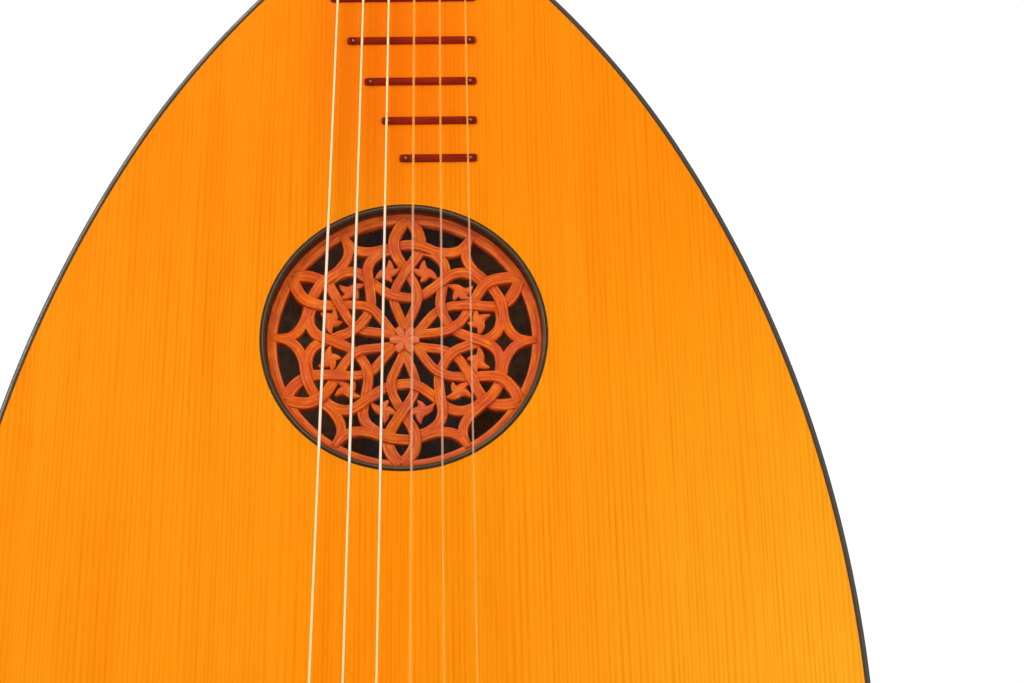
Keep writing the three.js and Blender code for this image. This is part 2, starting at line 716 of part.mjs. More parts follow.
function buildPegbox() {
  addPiece('pegbox_bass_cheek', cheek(-1), WOOD.neck, pegbox);
  addPiece('pegbox_treble_cheek', cheek(1), WOOD.neck, pegbox);

  const inset = CHEEK_THICKNESS + GLUE_GAP;
  const backFront = (along) => boxDepth(along) + GLUE_GAP;
  const backBack = (along) => backFront(along) + PEGBOX_BACK_THICKNESS;
  const rootFront = rootAt(backFront(10));
  const rootBack = rootAt(backBack(10));
  addPiece('pegbox_back', crossBlock(
    [[rootFront, backFront(rootFront)], [rootBack, backBack(rootBack)]],
    [[PEGBOX_LENGTH, backFront(PEGBOX_LENGTH)], [PEGBOX_LENGTH, backBack(PEGBOX_LENGTH)]],
    0,
  ), WOOD.neck, pegbox);

  const blockFront = 5;
  const blockBack = boxDepth(10) - GLUE_GAP;
  const rootEnd = 17;
  addPiece('pegbox_root_block', crossBlock(
    [[rootAt(blockFront), blockFront], [rootAt(blockBack), blockBack]],
    [[rootEnd, blockFront + 2], [rootEnd, boxDepth(rootEnd) - GLUE_GAP]],
    inset,
  ), WOOD.neck, pegbox);

  const endStart = PEGBOX_LENGTH - 12;
  addPiece('pegbox_end_block', crossBlock(
    [[endStart, 0.5], [endStart, boxDepth(endStart) - GLUE_GAP]],
    [[PEGBOX_LENGTH, 0.5], [PEGBOX_LENGTH, boxDepth(PEGBOX_LENGTH) - GLUE_GAP]],
    inset,
  ), WOOD.neck, pegbox);
}

// One peg: a tapered shaft through both cheeks, a collar, and a flattened head.
function pegGeometry(peg) {
  const wall = boxHalfWidth(peg.along);
  const stations = [
    [-wall - 3, 2.6, 2.6], [-wall - 2.2, 3.5, 3.5], [wall + 3, PEG_RADIUS, PEG_RADIUS],
    [wall + 4, COLLAR_RADIUS, COLLAR_RADIUS], [wall + 6.5, COLLAR_RADIUS, COLLAR_RADIUS],
    [wall + 8, 3.8, 3.8],
    [wall + 12, 3.4, 4.2], [wall + 17, 3.4, 8.6], [wall + 23, 3.2, 11],
    [wall + 29, 3, 9.6], [wall + 33.5, 2.6, 4.6], [wall + 35, 1.4, 2],
  ];
  return loft(stations.map(([x, thick, wide]) => (
    circle(1, PEG_SIDES).map((p) => point(peg.side * x, p.x * thick, p.y * wide))
  )));
}

function buildPegs() {
  for (const peg of PEG_ORDER) {
    const mesh = addPiece(`peg_${peg.string}`, pegGeometry(peg), WOOD.peg, pegbox);
    mesh.position.set(0, peg.depth, peg.along);
  }
}

// Sideways places at a height measured from the rose's centre.
function stringCentreX(rise) {
  return STRING_CENTRE_X + STRING_CENTRE_SLOPE * rise;
}

function stringX(string, rise) {
  return stringCentreX(rise) + (3.5 - string) * (STRING_GAP + STRING_GAP_SLOPE * rise);
}

function buildStrings() {
  for (const peg of PEG_ORDER) {
    const radius = STRING_RADII[peg.string - 1];
    const nutY = FACE_Y - NUT_RISE - 0.06 - radius;
    const nutX = stringX(peg.string, NUT_Z - ROSE_Z);
    const bridgeX = stringX(peg.string, -BRIDGE_TO_ROSE);
    const landing = point(peg.across, peg.depth - PEG_RADIUS - 0.35 - radius, peg.along);
    const path = [
      point(bridgeX, FACE_Y - BRIDGE_STRING_RISE - radius, BRIDGE_Z + 0.3),
      point(nutX, nutY, NUT_Z),
      point(nutX, nutY, NUT_Z + NUT_LENGTH),
      pegbox.localToWorld(landing),
    ];
    const rings = path.map((centre, i) => {
      const before = path[Math.max(i - 1, 0)];
      const after = path[Math.min(i + 1, path.length - 1)];
      const along = after.clone().sub(before).normalize();
      const sideways = point(1, 0, 0).addScaledVector(along, -along.x).normalize();
      const across = along.clone().cross(sideways);
      return circle(radius, 8).map((p) => centre.clone()
        .addScaledVector(sideways, p.x)
        .addScaledVector(across, p.y));
    });
    addPiece(`string_${peg.string}`, loft(rings), NYLON);
  }
}

buildSoundboard();
buildRose();
buildRibs();
buildBlocks();
buildBraces();
buildBridge();
buildEndClasp();
buildFingerboard();
buildFrets();
buildPegbox();
buildPegs();
buildStrings();

export default instrument;
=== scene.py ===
"""Looks of a lute-guitar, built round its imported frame. Lengths are metres unless MM is named."""

import json
import math

import bmesh
import bpy
from mathutils import Matrix, Vector


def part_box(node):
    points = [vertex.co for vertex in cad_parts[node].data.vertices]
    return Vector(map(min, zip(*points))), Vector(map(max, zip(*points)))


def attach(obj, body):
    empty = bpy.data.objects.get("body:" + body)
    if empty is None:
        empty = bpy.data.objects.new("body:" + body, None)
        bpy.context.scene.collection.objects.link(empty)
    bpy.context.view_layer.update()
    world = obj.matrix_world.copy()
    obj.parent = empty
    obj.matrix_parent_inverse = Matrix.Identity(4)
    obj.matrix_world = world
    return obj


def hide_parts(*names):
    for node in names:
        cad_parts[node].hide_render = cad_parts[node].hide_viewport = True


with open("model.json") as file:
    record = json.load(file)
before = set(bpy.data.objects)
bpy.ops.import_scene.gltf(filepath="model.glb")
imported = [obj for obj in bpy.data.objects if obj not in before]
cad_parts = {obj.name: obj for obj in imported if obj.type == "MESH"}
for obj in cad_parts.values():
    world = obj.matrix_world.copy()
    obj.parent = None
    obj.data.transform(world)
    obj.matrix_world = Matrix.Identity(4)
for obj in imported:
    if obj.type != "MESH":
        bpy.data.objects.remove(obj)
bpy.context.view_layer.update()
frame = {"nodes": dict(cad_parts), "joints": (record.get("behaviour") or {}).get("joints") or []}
MM = 0.001
BODY = "instrument"

# ---- Places and sizes, read from the frame ----

BOARD_LOW, BOARD_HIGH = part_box("soundboard")
EDGE_LOW, EDGE_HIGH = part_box("soundboard_edging")
RING_LOW, RING_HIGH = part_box("rose_ring")
ROSE_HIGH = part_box("rose")[1]
NECK_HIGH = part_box("neck")[1]
FINGERBOARD_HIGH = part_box("fingerboard")[1]
NUT_LOW, NUT_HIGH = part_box("nut")
BRIDGE_LOW, BRIDGE_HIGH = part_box("bridge")

FACE_Y = BOARD_LOW.y
BACK_Y = BOARD_HIGH.y
BODY_HALF_WIDTH = EDGE_HIGH.x
TAIL_Z = EDGE_LOW.z
JOINT_Z = EDGE_HIGH.z
JOINT_HALF_WIDTH = FINGERBOARD_HIGH.x
NECK_LENGTH = NUT_LOW.z - JOINT_Z
ROSE_Z = (RING_LOW.z + RING_HIGH.z) / 2
RING_RADIUS = RING_HIGH.x
ROSE_RADIUS = ROSE_HIGH.x
BOWL_RATIO = 0.95
TAIL_LENGTH = 137.4 * MM
WIDEST_Z = TAIL_Z + TAIL_LENGTH
EDGING_WIDTH = 0.84 * (EDGE_HIGH.x - BOARD_HIGH.x)
RIB_COUNT = 9
RIB_THICKNESS = 2 * MM

# The side of the body is two arcs: a flank above the widest line, then a tighter shoulder.
FLANK_RADIUS = 447 * MM
FLANK_RISE = 211.7 * MM
SHOULDER_RADIUS = 335 * MM
SHOULDER_ANGLE = math.asin(FLANK_RISE / FLANK_RADIUS)
SHOULDER_X = (BODY_HALF_WIDTH - FLANK_RADIUS
              + (FLANK_RADIUS - SHOULDER_RADIUS) * math.cos(SHOULDER_ANGLE))
SHOULDER_Z = WIDEST_Z + (FLANK_RADIUS - SHOULDER_RADIUS) * math.sin(SHOULDER_ANGLE)
JOINT_ANGLE = math.asin((JOINT_Z - SHOULDER_Z) / SHOULDER_RADIUS)
# Share of the outline's points that go round the tail, below the widest line.
TAIL_SHARE = 0.42

BEND_ANGLE = math.radians(62)
PEGBOX_ROOT = Vector((0, FACE_Y + 1.5 * MM, NUT_LOW.z + 6 * MM))
PEGBOX_FRAME = Matrix.Translation(PEGBOX_ROOT) @ Matrix.Rotation(-BEND_ANGLE, 4, "X")
PEGBOX_TURN = Matrix.Rotation(-BEND_ANGLE, 3, "X")
PEGBOX_LENGTH = 175 * MM
PEGBOX_TIP_HALF_WIDTH = 16 * MM
PEG_WAIST = 3.95 * MM
STRING_RADII = [0.36 * MM, 0.4 * MM, 0.45 * MM, 0.5 * MM, 0.52 * MM, 0.55 * MM]


# ---- Mesh helpers ----


def add_piece(name, mesh_data, look, body=BODY, sharp=35, replaces=(), shading_and_tone=None, grain=None):
    """Makes a smooth-shaded piece that rides on a CAD body and stands for CAD nodes.

    Mesh data is (vertices, faces). The shading and tone marks and the grain are values for the look,
    by vertex; the marks carry painted shade and painted highlight as well as tone.
    """
    vertices, faces = mesh_data
    mesh = bpy.data.meshes.new(name)
    mesh.from_pydata([tuple(v) for v in vertices], [], faces)
    if shading_and_tone:
        mesh.attributes.new("shading_and_tone", "FLOAT", "POINT").data.foreach_set("value", shading_and_tone)
    if grain:
        layer = mesh.attributes.new("grain", "FLOAT_VECTOR", "POINT")
        layer.data.foreach_set("vector", [value for place in grain for value in place])
    work = bmesh.new()
    work.from_mesh(mesh)
    bmesh.ops.recalc_face_normals(work, faces=work.faces)
    work.to_mesh(mesh)
    work.free()
    mesh.shade_smooth()
    mesh.set_sharp_from_angle(angle=math.radians(sharp))
    mesh.materials.append(look)
    piece = add_object(name, mesh)
    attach(piece, body)
    if replaces:
        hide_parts(*replaces)
    return piece


def add_object(name, data):
    item = bpy.data.objects.new(name, data)
    bpy.context.scene.collection.objects.link(item)
    return item


def loft(rings, closed=False):
    """Skin through equal rings of points: with flat ends, or closed round to the first ring."""
    size = len(rings[0])
    vertices = [v for ring in rings for v in ring]
    total = len(vertices)
    faces = []
    for start in range(0, total if closed else total - size, size):
        for i in range(size):
            j = (i + 1) % size
            corners = (start + i, start + j, start + size + j, start + size + i)
            faces.append(tuple(corner % total for corner in corners))
    if not closed:
        faces.append(tuple(range(size)))
        faces.append(tuple(range(total - size, total)))
    return vertices, faces


def in_mm(rows):
    return [tuple(value * MM for value in row) for row in rows]


def lathe(profile, sides, centre, axis="Y"):
    """Turns a closed profile of (radius, height) round an axis through centre."""
    rings = []
    for i in range(sides):
        angle = 2 * math.pi * i / sides
        x, other = math.cos(angle), math.sin(angle)
        if axis == "Y":
            rings.append([centre + Vector((r * x, h, r * other)) for r, h in profile])
        else:
            rings.append([centre + Vector((r * x, r * other, h)) for r, h in profile])
    return loft(rings, closed=True)


def shell(outer, inner):
    """A closed thin shell between two matching grids of points."""
    rows, columns = len(outer), len(outer[0])
    vertices = [v for row in outer for v in row] + [v for row in inner for v in row]
    half = rows * columns
    faces = []
    for r in range(rows - 1):
        for c in range(columns - 1):
            a = r * columns + c
            faces.append((a, a + 1, a + columns + 1, a + columns))
            faces.append((half + a, half + a + columns, half + a + columns + 1, half + a + 1))
    edge = [(0, c) for c in range(columns - 1)]
    edge += [(r, columns - 1) for r in range(rows - 1)]
    edge += [(rows - 1, c) for c in range(columns - 1, 0, -1)]
    edge += [(r, 0) for r in range(rows - 1, 0, -1)]
    loop = [r * columns + c for r, c in edge]
    for a, b in zip(loop, loop[1:] + loop[:1]):
        faces.append((a, b, half + b, half + a))
    return vertices, faces


def spread(count, low, high):
    return [low + (high - low) * i / (count - 1) for i in range(count)]


def limited(value):
    return min(1.0, max(0.0, value))


def smooth_path(rows, steps):
    """Catmull-Rom points through rows of equal-length tuples, steps per span."""
    first = [2 * a - b for a, b in zip(rows[0], rows[1])]
    last = [2 * a - b for a, b in zip(rows[-1], rows[-2])]
    rows = [first, *rows, last]
    path = []
    for i in range(1, len(rows) - 2):
        p0, p1, p2, p3 = rows[i - 1 : i + 3]
        for s in range(steps):
            t = s / steps
            path.append([
                0.5 * (2 * b + (c - a) * t + (2 * a - 5 * b + 4 * c - d) * t * t
                       + (3 * b - a - 3 * c + d) * t**3)
                for a, b, c, d in zip(p0, p1, p2, p3)
            ])
    path.append(list(rows[-2]))
    return path


def tube(points, radius, sides=16):
    """A round tube through a list of points."""
    rings = []
    side = Vector((1, 0, 0))
    for i, centre in enumerate(points):
        along = (points[min(i + 1, len(points) - 1)] - points[max(i - 1, 0)]).normalized()
        side = (side - along * side.dot(along)).normalized()
        other = along.cross(side)
        rings.append([
            centre + radius * (math.cos(a) * side + math.sin(a) * other)
            for a in (2 * math.pi * k / sides for k in range(sides))
        ])
    return loft(rings)


def join_parts(parts):
    """Joins several (vertices, faces) pairs into one."""
    vertices, faces = [], []
    for part_vertices, part_faces in parts:
        start = len(vertices)
        vertices += part_vertices
        faces += [tuple(v + start for v in face) for face in part_faces]
    return vertices, faces


def bevel(piece, width, segments, angle=40):
    modifier = piece.modifiers.new("rounded edges", "BEVEL")
    modifier.width = width
    modifier.segments = segments
    modifier.limit_method = "ANGLE"
    modifier.angle_limit = math.radians(angle)
    modifier.harden_normals = False


# ---- Materials ----


class Nodes:
    """The node tree of a material, or of the world, with short calls for the nodes used here."""

    def __init__(self, name, world=False):
        self.look = (bpy.data.worlds if world else bpy.data.materials).new(name)
        self.look.use_nodes = True
        self.tree = self.look.node_tree
        self.tree.nodes.clear()
        self.output = self.node("OutputWorld" if world else "OutputMaterial")
        self.shader = self.node("Background" if world else "BsdfPrincipled")
        self.put(self.shader.outputs[0], self.output.inputs[0])
        self.place = self.node("TexCoord").outputs["Object"]
        self.colour = None

    def put(self, value, target):
        if isinstance(value, bpy.types.NodeSocket):
            self.tree.links.new(value, target)
        else:
            target.default_value = value

    def node(self, kind, *values, **named):
        """Adds a node. Its inputs are given in order, or by name with _ for each space."""
        node = self.tree.nodes.new(f"ShaderNode{kind}")
        for value, target in zip(values, node.inputs):
            self.put(value, target)
        for name, value in named.items():
            self.put(value, node.inputs[name.replace("_", " ")])
        return node

    def noise(self, scale, detail=3, roughness=0.5, distortion=0.0, place=None):
        """Noise with a scale along each axis."""
        mapping = self.node("Mapping", Vector=place or self.place, Scale=scale)
        noise = self.node("TexNoise", Vector=mapping.outputs[0], Scale=1.0, Detail=detail,
                          Roughness=roughness, Distortion=distortion)
        return noise.outputs["Fac"]

    def ramp(self, value, *stops):
        """Colours, or grey tones, by a value; each stop is (place, colour)."""
        node = self.node("ValToRGB", value)
        elements = node.color_ramp.elements
        while len(elements) < len(stops):
            elements.new(0.5)
        for element, (place, colour) in zip(elements, stops):
            element.position = place
            element.color = (*(colour if isinstance(colour, tuple) else (colour,) * 3), 1)
        return node.outputs["Color"]

    def math(self, operation, *values, clamp=False):
        node = self.node("Math", *values)
        node.operation = operation
        node.use_clamp = clamp
        return node.outputs[0]

    def product(self, first, *others):
        for other in others:
            first = self.math("MULTIPLY", first, other)
        return first

    def fade(self, value, start, span):
        """0 up to the start, then an even rise to 1; a negative span runs the other way."""
        return self.math("DIVIDE", self.math("SUBTRACT", value, start), span, clamp=True)

    def reach(self, *steps):
        """Distance from a centre; each step is (axis, place of the centre, unit)."""
        total = 0.0
        for axis, centre, unit in steps:
            step = self.math("DIVIDE", self.math("SUBTRACT", self.axis(axis), centre), unit)
            total = self.math("MULTIPLY_ADD", step, step, total)
        return self.math("SQRT", total)

    def mix(self, share, first, second, blend="MIX"):
        node = self.node("Mix")
        node.data_type = "RGBA"
        node.blend_type = blend
        for value, number in ((share, 0), (first, 6), (second, 7)):
            self.put((*value, 1) if isinstance(value, tuple) else value, node.inputs[number])
        return node.outputs[2]

    def paint(self, share, colour, blend="MIX"):
        """Lays a colour over the tree's colour, by a share from 0 to 1."""
        self.colour = self.mix(share, self.colour, colour, blend)

    def axis(self, name):
        return self.node("SeparateXYZ", self.place).outputs[name]

    def attribute(self, name, output="Fac"):
        node = self.node("Attribute")
        node.attribute_name = name
        return node.outputs[output]

    def bump(self, height, strength, distance):
        node = self.node("Bump", Strength=strength, Distance=distance, Height=height)
        self.put(node.outputs[0], self.shader.inputs["Normal"])

    def finish(self, roughness=0.4, **settings):
        settings = {"Base_Color": self.colour, "Roughness": roughness, **settings}
        for name, value in settings.items():
            self.put(value, self.shader.inputs[name.replace("_", " ")])
        return self.look

    def send_mix(self, share, first, second):
        """Sends a mix of two shader nodes to the output."""
        mixed = self.node("MixShader", share, first.outputs[0], second.outputs[0])
        self.put(mixed.outputs[0], self.output.inputs[0])


def along_axis(axis, pitch, length):
    """Noise scale for streaks that run along an axis, with a pitch across it."""
    return tuple(1 / length if name == axis else 1 / pitch for name in "XYZ")


def toned(colour, factor):
    return tuple(min(1.0, value * factor) for value in colour)


def spruce_top():
    """Bright orange varnish over fine vertical spruce grain."""
    n = Nodes("spruce_top")
    x, z = n.axis("X"), n.axis("Z")
    ring_pitch = 1.7 * MM
    drift_in_rings = 9.0
    threads = n.noise(along_axis("Z", 0.34 * MM, 30 * MM), detail=2)
    drift = n.noise(along_axis("Z", 24 * MM, 900 * MM), detail=2)
    # Year lines: evenly spaced, with a slow drift that squeezes and spreads them.
    phase = n.math("ADD", n.math("DIVIDE", x, ring_pitch), n.product(drift, drift_in_rings))
    rings = n.math("MULTIPLY_ADD", n.math("SINE", n.product(phase, 2 * math.pi)), 0.5, 0.5)
    breaks = n.noise(along_axis("Z", 2.2 * MM, 60 * MM))
    bands = n.noise(along_axis("Z", 9 * MM, 300 * MM), detail=2)
    cloud = n.noise((18, 18, 7), detail=2)
    n.colour = n.ramp(bands, (0.3, (0.82, 0.230, 0.0020)), (0.5, (0.83, 0.250, 0.0030)),
                      (0.72, (0.84, 0.266, 0.0045)))
    # Low down on the treble side the board is painted paler and yellower: a painted sheen.
    aside = n.fade(x, 25 * MM, 110 * MM)
    below = n.fade(z, ROSE_Z + 40 * MM, -150 * MM)
    n.paint(n.product(aside, below, 0.85), (0.88, 0.365, 0.0150))
    lines = n.product(n.ramp(rings, (0.35, 0.0), (0.75, 0.36), (1.0, 0.62)),
                      n.ramp(breaks, (0.36, 0.25), (0.60, 1.0)))
    n.paint(lines, (0.86, 0.62, 0.15), "MULTIPLY")
    strands = n.ramp(threads, (0.36, 1.0), (0.48, 0.0))
    n.paint(n.product(strands, 0.30), (0.88, 0.62, 0.25), "MULTIPLY")
    n.paint(n.product(n.ramp(cloud, (0.35, 0.0), (0.7, 1.0)), 0.25), (0.85, 0.285, 0.0050))
    # Above the rose the board is painted redder, and most of all under the bass strings.
    n.paint(n.fade(z, ROSE_Z - 20 * MM, 90 * MM), (1.0, 0.90, 0.75), "MULTIPLY")
    patch = n.reach(("X", -5 * MM, 39 * MM), ("Z", ROSE_Z + 118 * MM, 78 * MM))
    warm = n.math("SUBTRACT", 1.0, n.product(patch, patch), clamp=True)
    n.paint(n.product(warm, 0.70), (0.84, 0.136, 0.0010))
    # Below the rose, a strip under the bass strings is painted a shade brighter: painted light that
    # cancels the strings' own shadows there.
    off_strip = n.math("ABSOLUTE", n.math("ADD", x, 17 * MM))
    strip = n.fade(off_strip, 28 * MM, -14 * MM)
    low = n.fade(z, ROSE_Z - 40 * MM, -12 * MM)
    n.paint(n.product(strip, low), (1.10, 1.06, 1.0), "MULTIPLY")
    n.bump(n.mix(0.6, rings, threads), 0.06, 0.1 * MM)
    rough = n.ramp(cloud, (0.3, 0.34), (0.7, 0.46))
    return n.finish(rough, Specular_IOR_Level=0.10, Specular_Tint=(1.0, 0.62, 0.12, 1))


def grained_wood(name, dark, light, axis="Z", pitch=1.6 * MM, length=90 * MM, roughness=0.35,
                 bump=0.15, figure=0.0, coat=0.2, shine=0.4):
    """Plain hardwood: streaks along an axis, slow tone changes and, if asked, cross figure."""
    n = Nodes(name)
    streaks = n.noise(along_axis(axis, pitch, length), detail=5, roughness=0.62)
    pores = n.noise(along_axis(axis, pitch / 5, length / 8), detail=1)
    slow = n.noise((30, 30, 12), detail=2, distortion=0.4)
    middle = tuple((a + b) / 2 for a, b in zip(dark, light))
    n.colour = n.ramp(streaks, (0.3, dark), (0.5, middle), (0.7, light))
    n.paint(n.ramp(pores, (0.3, 0.4), (0.38, 0.0)), toned(dark, 0.55))
    n.paint(n.product(n.ramp(slow, (0.35, 0.0), (0.7, 1.0)), 0.35), light)
    if figure:
        flames = n.noise((22, 22, 210), detail=2, distortion=0.5)
        n.paint(n.product(n.ramp(flames, (0.4, 0.0), (0.62, 1.0)), figure), toned(light, 1.5))
    n.bump(n.mix(0.5, streaks, pores), bump, 0.1 * MM)
    rough = n.ramp(slow, (0.3, roughness * 0.85), (0.7, min(1.0, roughness * 1.25)))
    return n.finish(rough, Coat_Weight=coat, Coat_Roughness=0.2, Specular_IOR_Level=shine)


def rose_wood():
    """Red-orange stained carving with knife streaks along each ribbon, and painted shade in the
    grooves and down the sides.
    """
    n = Nodes("rose_wood")
    along = n.attribute("grain", "Vector")
    shading_and_tone = n.attribute("shading_and_tone")
    streaks = n.noise((1 / (9 * MM), 1 / (0.42 * MM), 1), 4, 0.65, place=along)
    scratches = n.noise((1 / (6 * MM), 1 / (0.16 * MM), 1), 2, place=along)
    slow = n.noise((1 / (7 * MM), 1 / (5 * MM), 1), 1, place=along)
    blotch = n.noise((150, 150, 150), distortion=0.5)
    n.colour = n.ramp(blotch, (0.34, (0.60, 0.082, 0.020)), (0.5, (0.70, 0.106, 0.010)),
                      (0.66, (0.82, 0.160, 0.005)))
    n.paint(n.ramp(streaks, (0.42, 0.62), (0.54, 0.0)), (0.48, 0.044, 0.006))
    n.paint(n.ramp(streaks, (0.52, 0.0), (0.68, 0.66)), (0.90, 0.235, 0.055))
    n.paint(n.ramp(scratches, (0.32, 0.45), (0.42, 0.0)), (0.42, 0.036, 0.008))
    # Painted shade in the grooves and down the sides, by each vertex's mark.
    painted_groove_shade = n.math("MULTIPLY", shading_and_tone, n.ramp(slow, (0.34, 0.35), (0.62, 1.0)), clamp=True)
    n.paint(painted_groove_shade, (0.24, 0.016, 0.005))
    # A mark below zero paints the crests a paler salmon: a painted highlight.
    n.paint(n.math("MULTIPLY", shading_and_tone, -1.0, clamp=True), (0.84, 0.205, 0.085))
    # The middle, under the strings, is a little duller.
    n.paint(n.fade(n.math("ABSOLUTE", n.axis("X")), 34 * MM, -34 * MM), (0.90, 1.0, 1.4), "MULTIPLY")
    n.bump(n.mix(0.4, streaks, scratches), 0.35, 0.12 * MM)
    return n.finish(n.ramp(blotch, (0.3, 0.42), (0.7, 0.58)), Specular_IOR_Level=0.18,
                    Specular_Tint=(1.0, 0.70, 0.32, 1))


def ebony():
    """Black-stained hardwood."""
    n = Nodes("fingerboard_wood")
    tone = (0.022, 0.018, 0.014)
    roughness = 0.32
    streaks = n.noise((900, 900, 300), detail=4)
    patches = n.noise((60, 60, 60))
    n.colour = n.ramp(streaks, (0.35, toned(tone, 0.7)), (0.7, toned(tone, 1.6)))
    n.bump(streaks, 0.1, 0.05 * MM)
    rough = n.ramp(patches, (0.3, roughness * 0.8), (0.7, roughness * 1.3))
    return n.finish(rough, Specular_IOR_Level=0.4)


def edging_wood():
    """Dark strip with a painted highlight in grey along its crest, and a brown glue line on its inner
    side; its mark runs from 0 outside to 1 inside.
    """
    n = Nodes("edging_wood")
    specks = n.noise((700, 700, 700), detail=4)
    patches = n.noise((70, 70, 70))
    n.colour = n.ramp(
        n.attribute("shading_and_tone"),
        (0.0, (0.045, 0.043, 0.040)), (0.20, (0.13, 0.125, 0.11)), (0.40, (0.31, 0.29, 0.24)),
        (0.56, (0.22, 0.185, 0.12)), (0.70, (0.060, 0.030, 0.010)), (0.92, (0.085, 0.032, 0.008)),
    )
    # Towards the treble side the strip is painted darker, painted shade where less light falls, and
    # random patches are darker too.
    treble_side_shade = n.product(n.fade(n.axis("X"), 0.0, 60 * MM), 0.88)
    patches_and_side_shade = n.math("MAXIMUM", n.ramp(patches, (0.34, 0.55), (0.62, 0.0)), treble_side_shade)
    n.paint(patches_and_side_shade, (0.042, 0.034, 0.028))
    n.paint(n.ramp(specks, (0.36, 0.5), (0.5, 0.0)), (0.060, 0.045, 0.030))
    n.bump(specks, 0.1, 0.05 * MM)
    return n.finish(n.ramp(patches, (0.3, 0.4), (0.7, 0.55)), Specular_IOR_Level=0.15)


def ring_wood():
    """Brown-black ring; its mark 0.4 is the red-brown stain of its wall, 1 a painted highlight along
    a fine line.
    """
    n = Nodes("ring_wood")
    specks = n.noise((800, 800, 800), detail=4)
    patches = n.noise((45, 45, 45))
    mark = n.attribute("shading_and_tone")
    n.colour = n.ramp(
        mark,
        (0.0, (0.026, 0.017, 0.007)), (0.2, (0.040, 0.023, 0.010)), (0.4, (0.15, 0.036, 0.012)),
        (0.6, (0.036, 0.025, 0.012)), (1.0, (0.15, 0.13, 0.075)),
    )
    # Low down on the treble side the inner band is painted a paler brown: a painted highlight.
    low = n.fade(n.math("SUBTRACT", n.axis("X"), n.axis("Z")), -ROSE_Z, 75 * MM)
    band = n.ramp(mark, (0.5, 0.0), (0.58, 0.75), (0.8, 0.75), (1.0, 0.3))
    n.paint(n.product(low, band), (0.25, 0.145, 0.080))
    rubbed = n.ramp(patches, (0.40, 0.85), (0.60, 0.0))
    n.paint(rubbed, n.mix(0.7, n.colour, (0.045, 0.026, 0.014)))
    n.paint(n.ramp(specks, (0.5, 0.0), (0.7, 0.4)), (0.11, 0.066, 0.034))
    n.bump(specks, 0.12, 0.05 * MM)
    return n.finish(n.ramp(patches, (0.3, 0.38), (0.7, 0.52)), Specular_IOR_Level=0.07)


def bone():
    n = Nodes("bone")
    streaks = n.noise((2500, 2500, 500))
    n.colour = n.ramp(streaks, (0.3, (0.70, 0.62, 0.45)), (0.7, (0.88, 0.82, 0.68)))
    n.bump(streaks, 0.08, 0.05 * MM)
    return n.finish(0.35, Subsurface_Weight=0.1)


def metal(name, tone, roughness=0.3):
    n = Nodes(name)
    specks = n.noise((3000, 3000, 3000), detail=2)
    n.colour = n.ramp(specks, (0.3, toned(tone, 0.75)), (0.7, tone))
    n.bump(specks, 0.1, 0.03 * MM)
    return n.finish(n.ramp(specks, (0.3, roughness), (0.7, roughness * 1.4)), Metallic=1.0)


def string_tone(n, specks, dark, light, by_rose, by_neck):
    """Colour of a string: one by the soundboard, one over the rose and one over the neck; the orange
    by the soundboard is painted light from the board.
    """
    n.colour = n.ramp(specks, (0.3, dark), (0.7, light))
    off_rose = n.reach(("X", 0.0, 2 * RING_RADIUS), ("Z", ROSE_Z - 4 * MM, 2 * RING_RADIUS))
    n.paint(n.ramp(off_rose, (0.485, 1.0), (0.515, 0.0)), by_rose)
    n.paint(n.fade(n.axis("Z"), JOINT_Z, 6 * MM), by_neck)


def bass_string():
    """Opaque cream string with a painted orange reflection of the board, and paler over the rose."""
    n = Nodes("bass_string")
    specks = n.noise((4000, 4000, 900), detail=2)
    string_tone(n, specks, (0.86, 0.57, 0.19), (0.95, 0.71, 0.31), (0.94, 0.68, 0.50),
                (0.86, 0.78, 0.62))
    # Its sides, seen edge-on, are painted dark against the varnish: painted shade.
    facing = n.node("LayerWeight").outputs["Facing"]
    n.paint(n.ramp(facing, (0.32, 0.0), (0.50, 0.85)), (0.16, 0.09, 0.035))
    n.bump(specks, 0.1, 0.03 * MM)
    return n.finish(0.35, Coat_Weight=0.15, Specular_IOR_Level=0.3)


def treble_string():
    """Clear nylon: part of what lies behind shows through, and by the board it is painted orange, a
    painted glow of the board's light.
    """
    n = Nodes("treble_string")
    solid_share = 0.38
    specks = n.noise((300, 300, 60), detail=2)
    string_tone(n, specks, (0.95, 0.43, 0.05), (1.0, 0.51, 0.10), (0.76, 0.40, 0.25),
                (0.72, 0.66, 0.55))
    n.finish(0.3, Specular_IOR_Level=0.15)
    n.send_mix(solid_share, n.node("BsdfTransparent"), n.shader)
    return n.look


SPRUCE = spruce_top()
ROSE = rose_wood()
EBONY = ebony()
EDGING = edging_wood()
RING = ring_wood()
RIB_DARK = grained_wood("rib_dark", (0.115, 0.028, 0.012), (0.30, 0.085, 0.03), roughness=0.25,
                        pitch=2.2 * MM, length=160 * MM, coat=0.5)
RIB_LIGHT = grained_wood("rib_light", (0.42, 0.17, 0.05), (0.68, 0.34, 0.11), roughness=0.25,
                         pitch=2.4 * MM, length=160 * MM, figure=0.4, coat=0.5)
NECK_WOOD = grained_wood("neck_wood", (0.10, 0.028, 0.013), (0.24, 0.075, 0.032),
                         pitch=1.8 * MM, length=120 * MM, roughness=0.3, coat=0.35)
INNER = grained_wood("inner_wood", (0.40, 0.26, 0.13), (0.62, 0.45, 0.27), roughness=0.7, coat=0.0)
BRIDGE_WOOD = grained_wood("bridge_wood", (0.035, 0.014, 0.009), (0.10, 0.04, 0.022), axis="X",
                           pitch=1.1 * MM, length=40 * MM, roughness=0.34)
FRET_WOOD = grained_wood("fret_wood", (0.12, 0.006, 0.001), (0.31, 0.016, 0.002), axis="X",
                         pitch=1.2 * MM, length=16 * MM, roughness=0.5, bump=0.2, coat=0.0,
                         shine=0.05)
PEG_WOOD = grained_wood("peg_wood", (0.022, 0.011, 0.008), (0.075, 0.034, 0.02), axis="X",
                        pitch=0.9 * MM, length=30 * MM, roughness=0.25, coat=0.4)
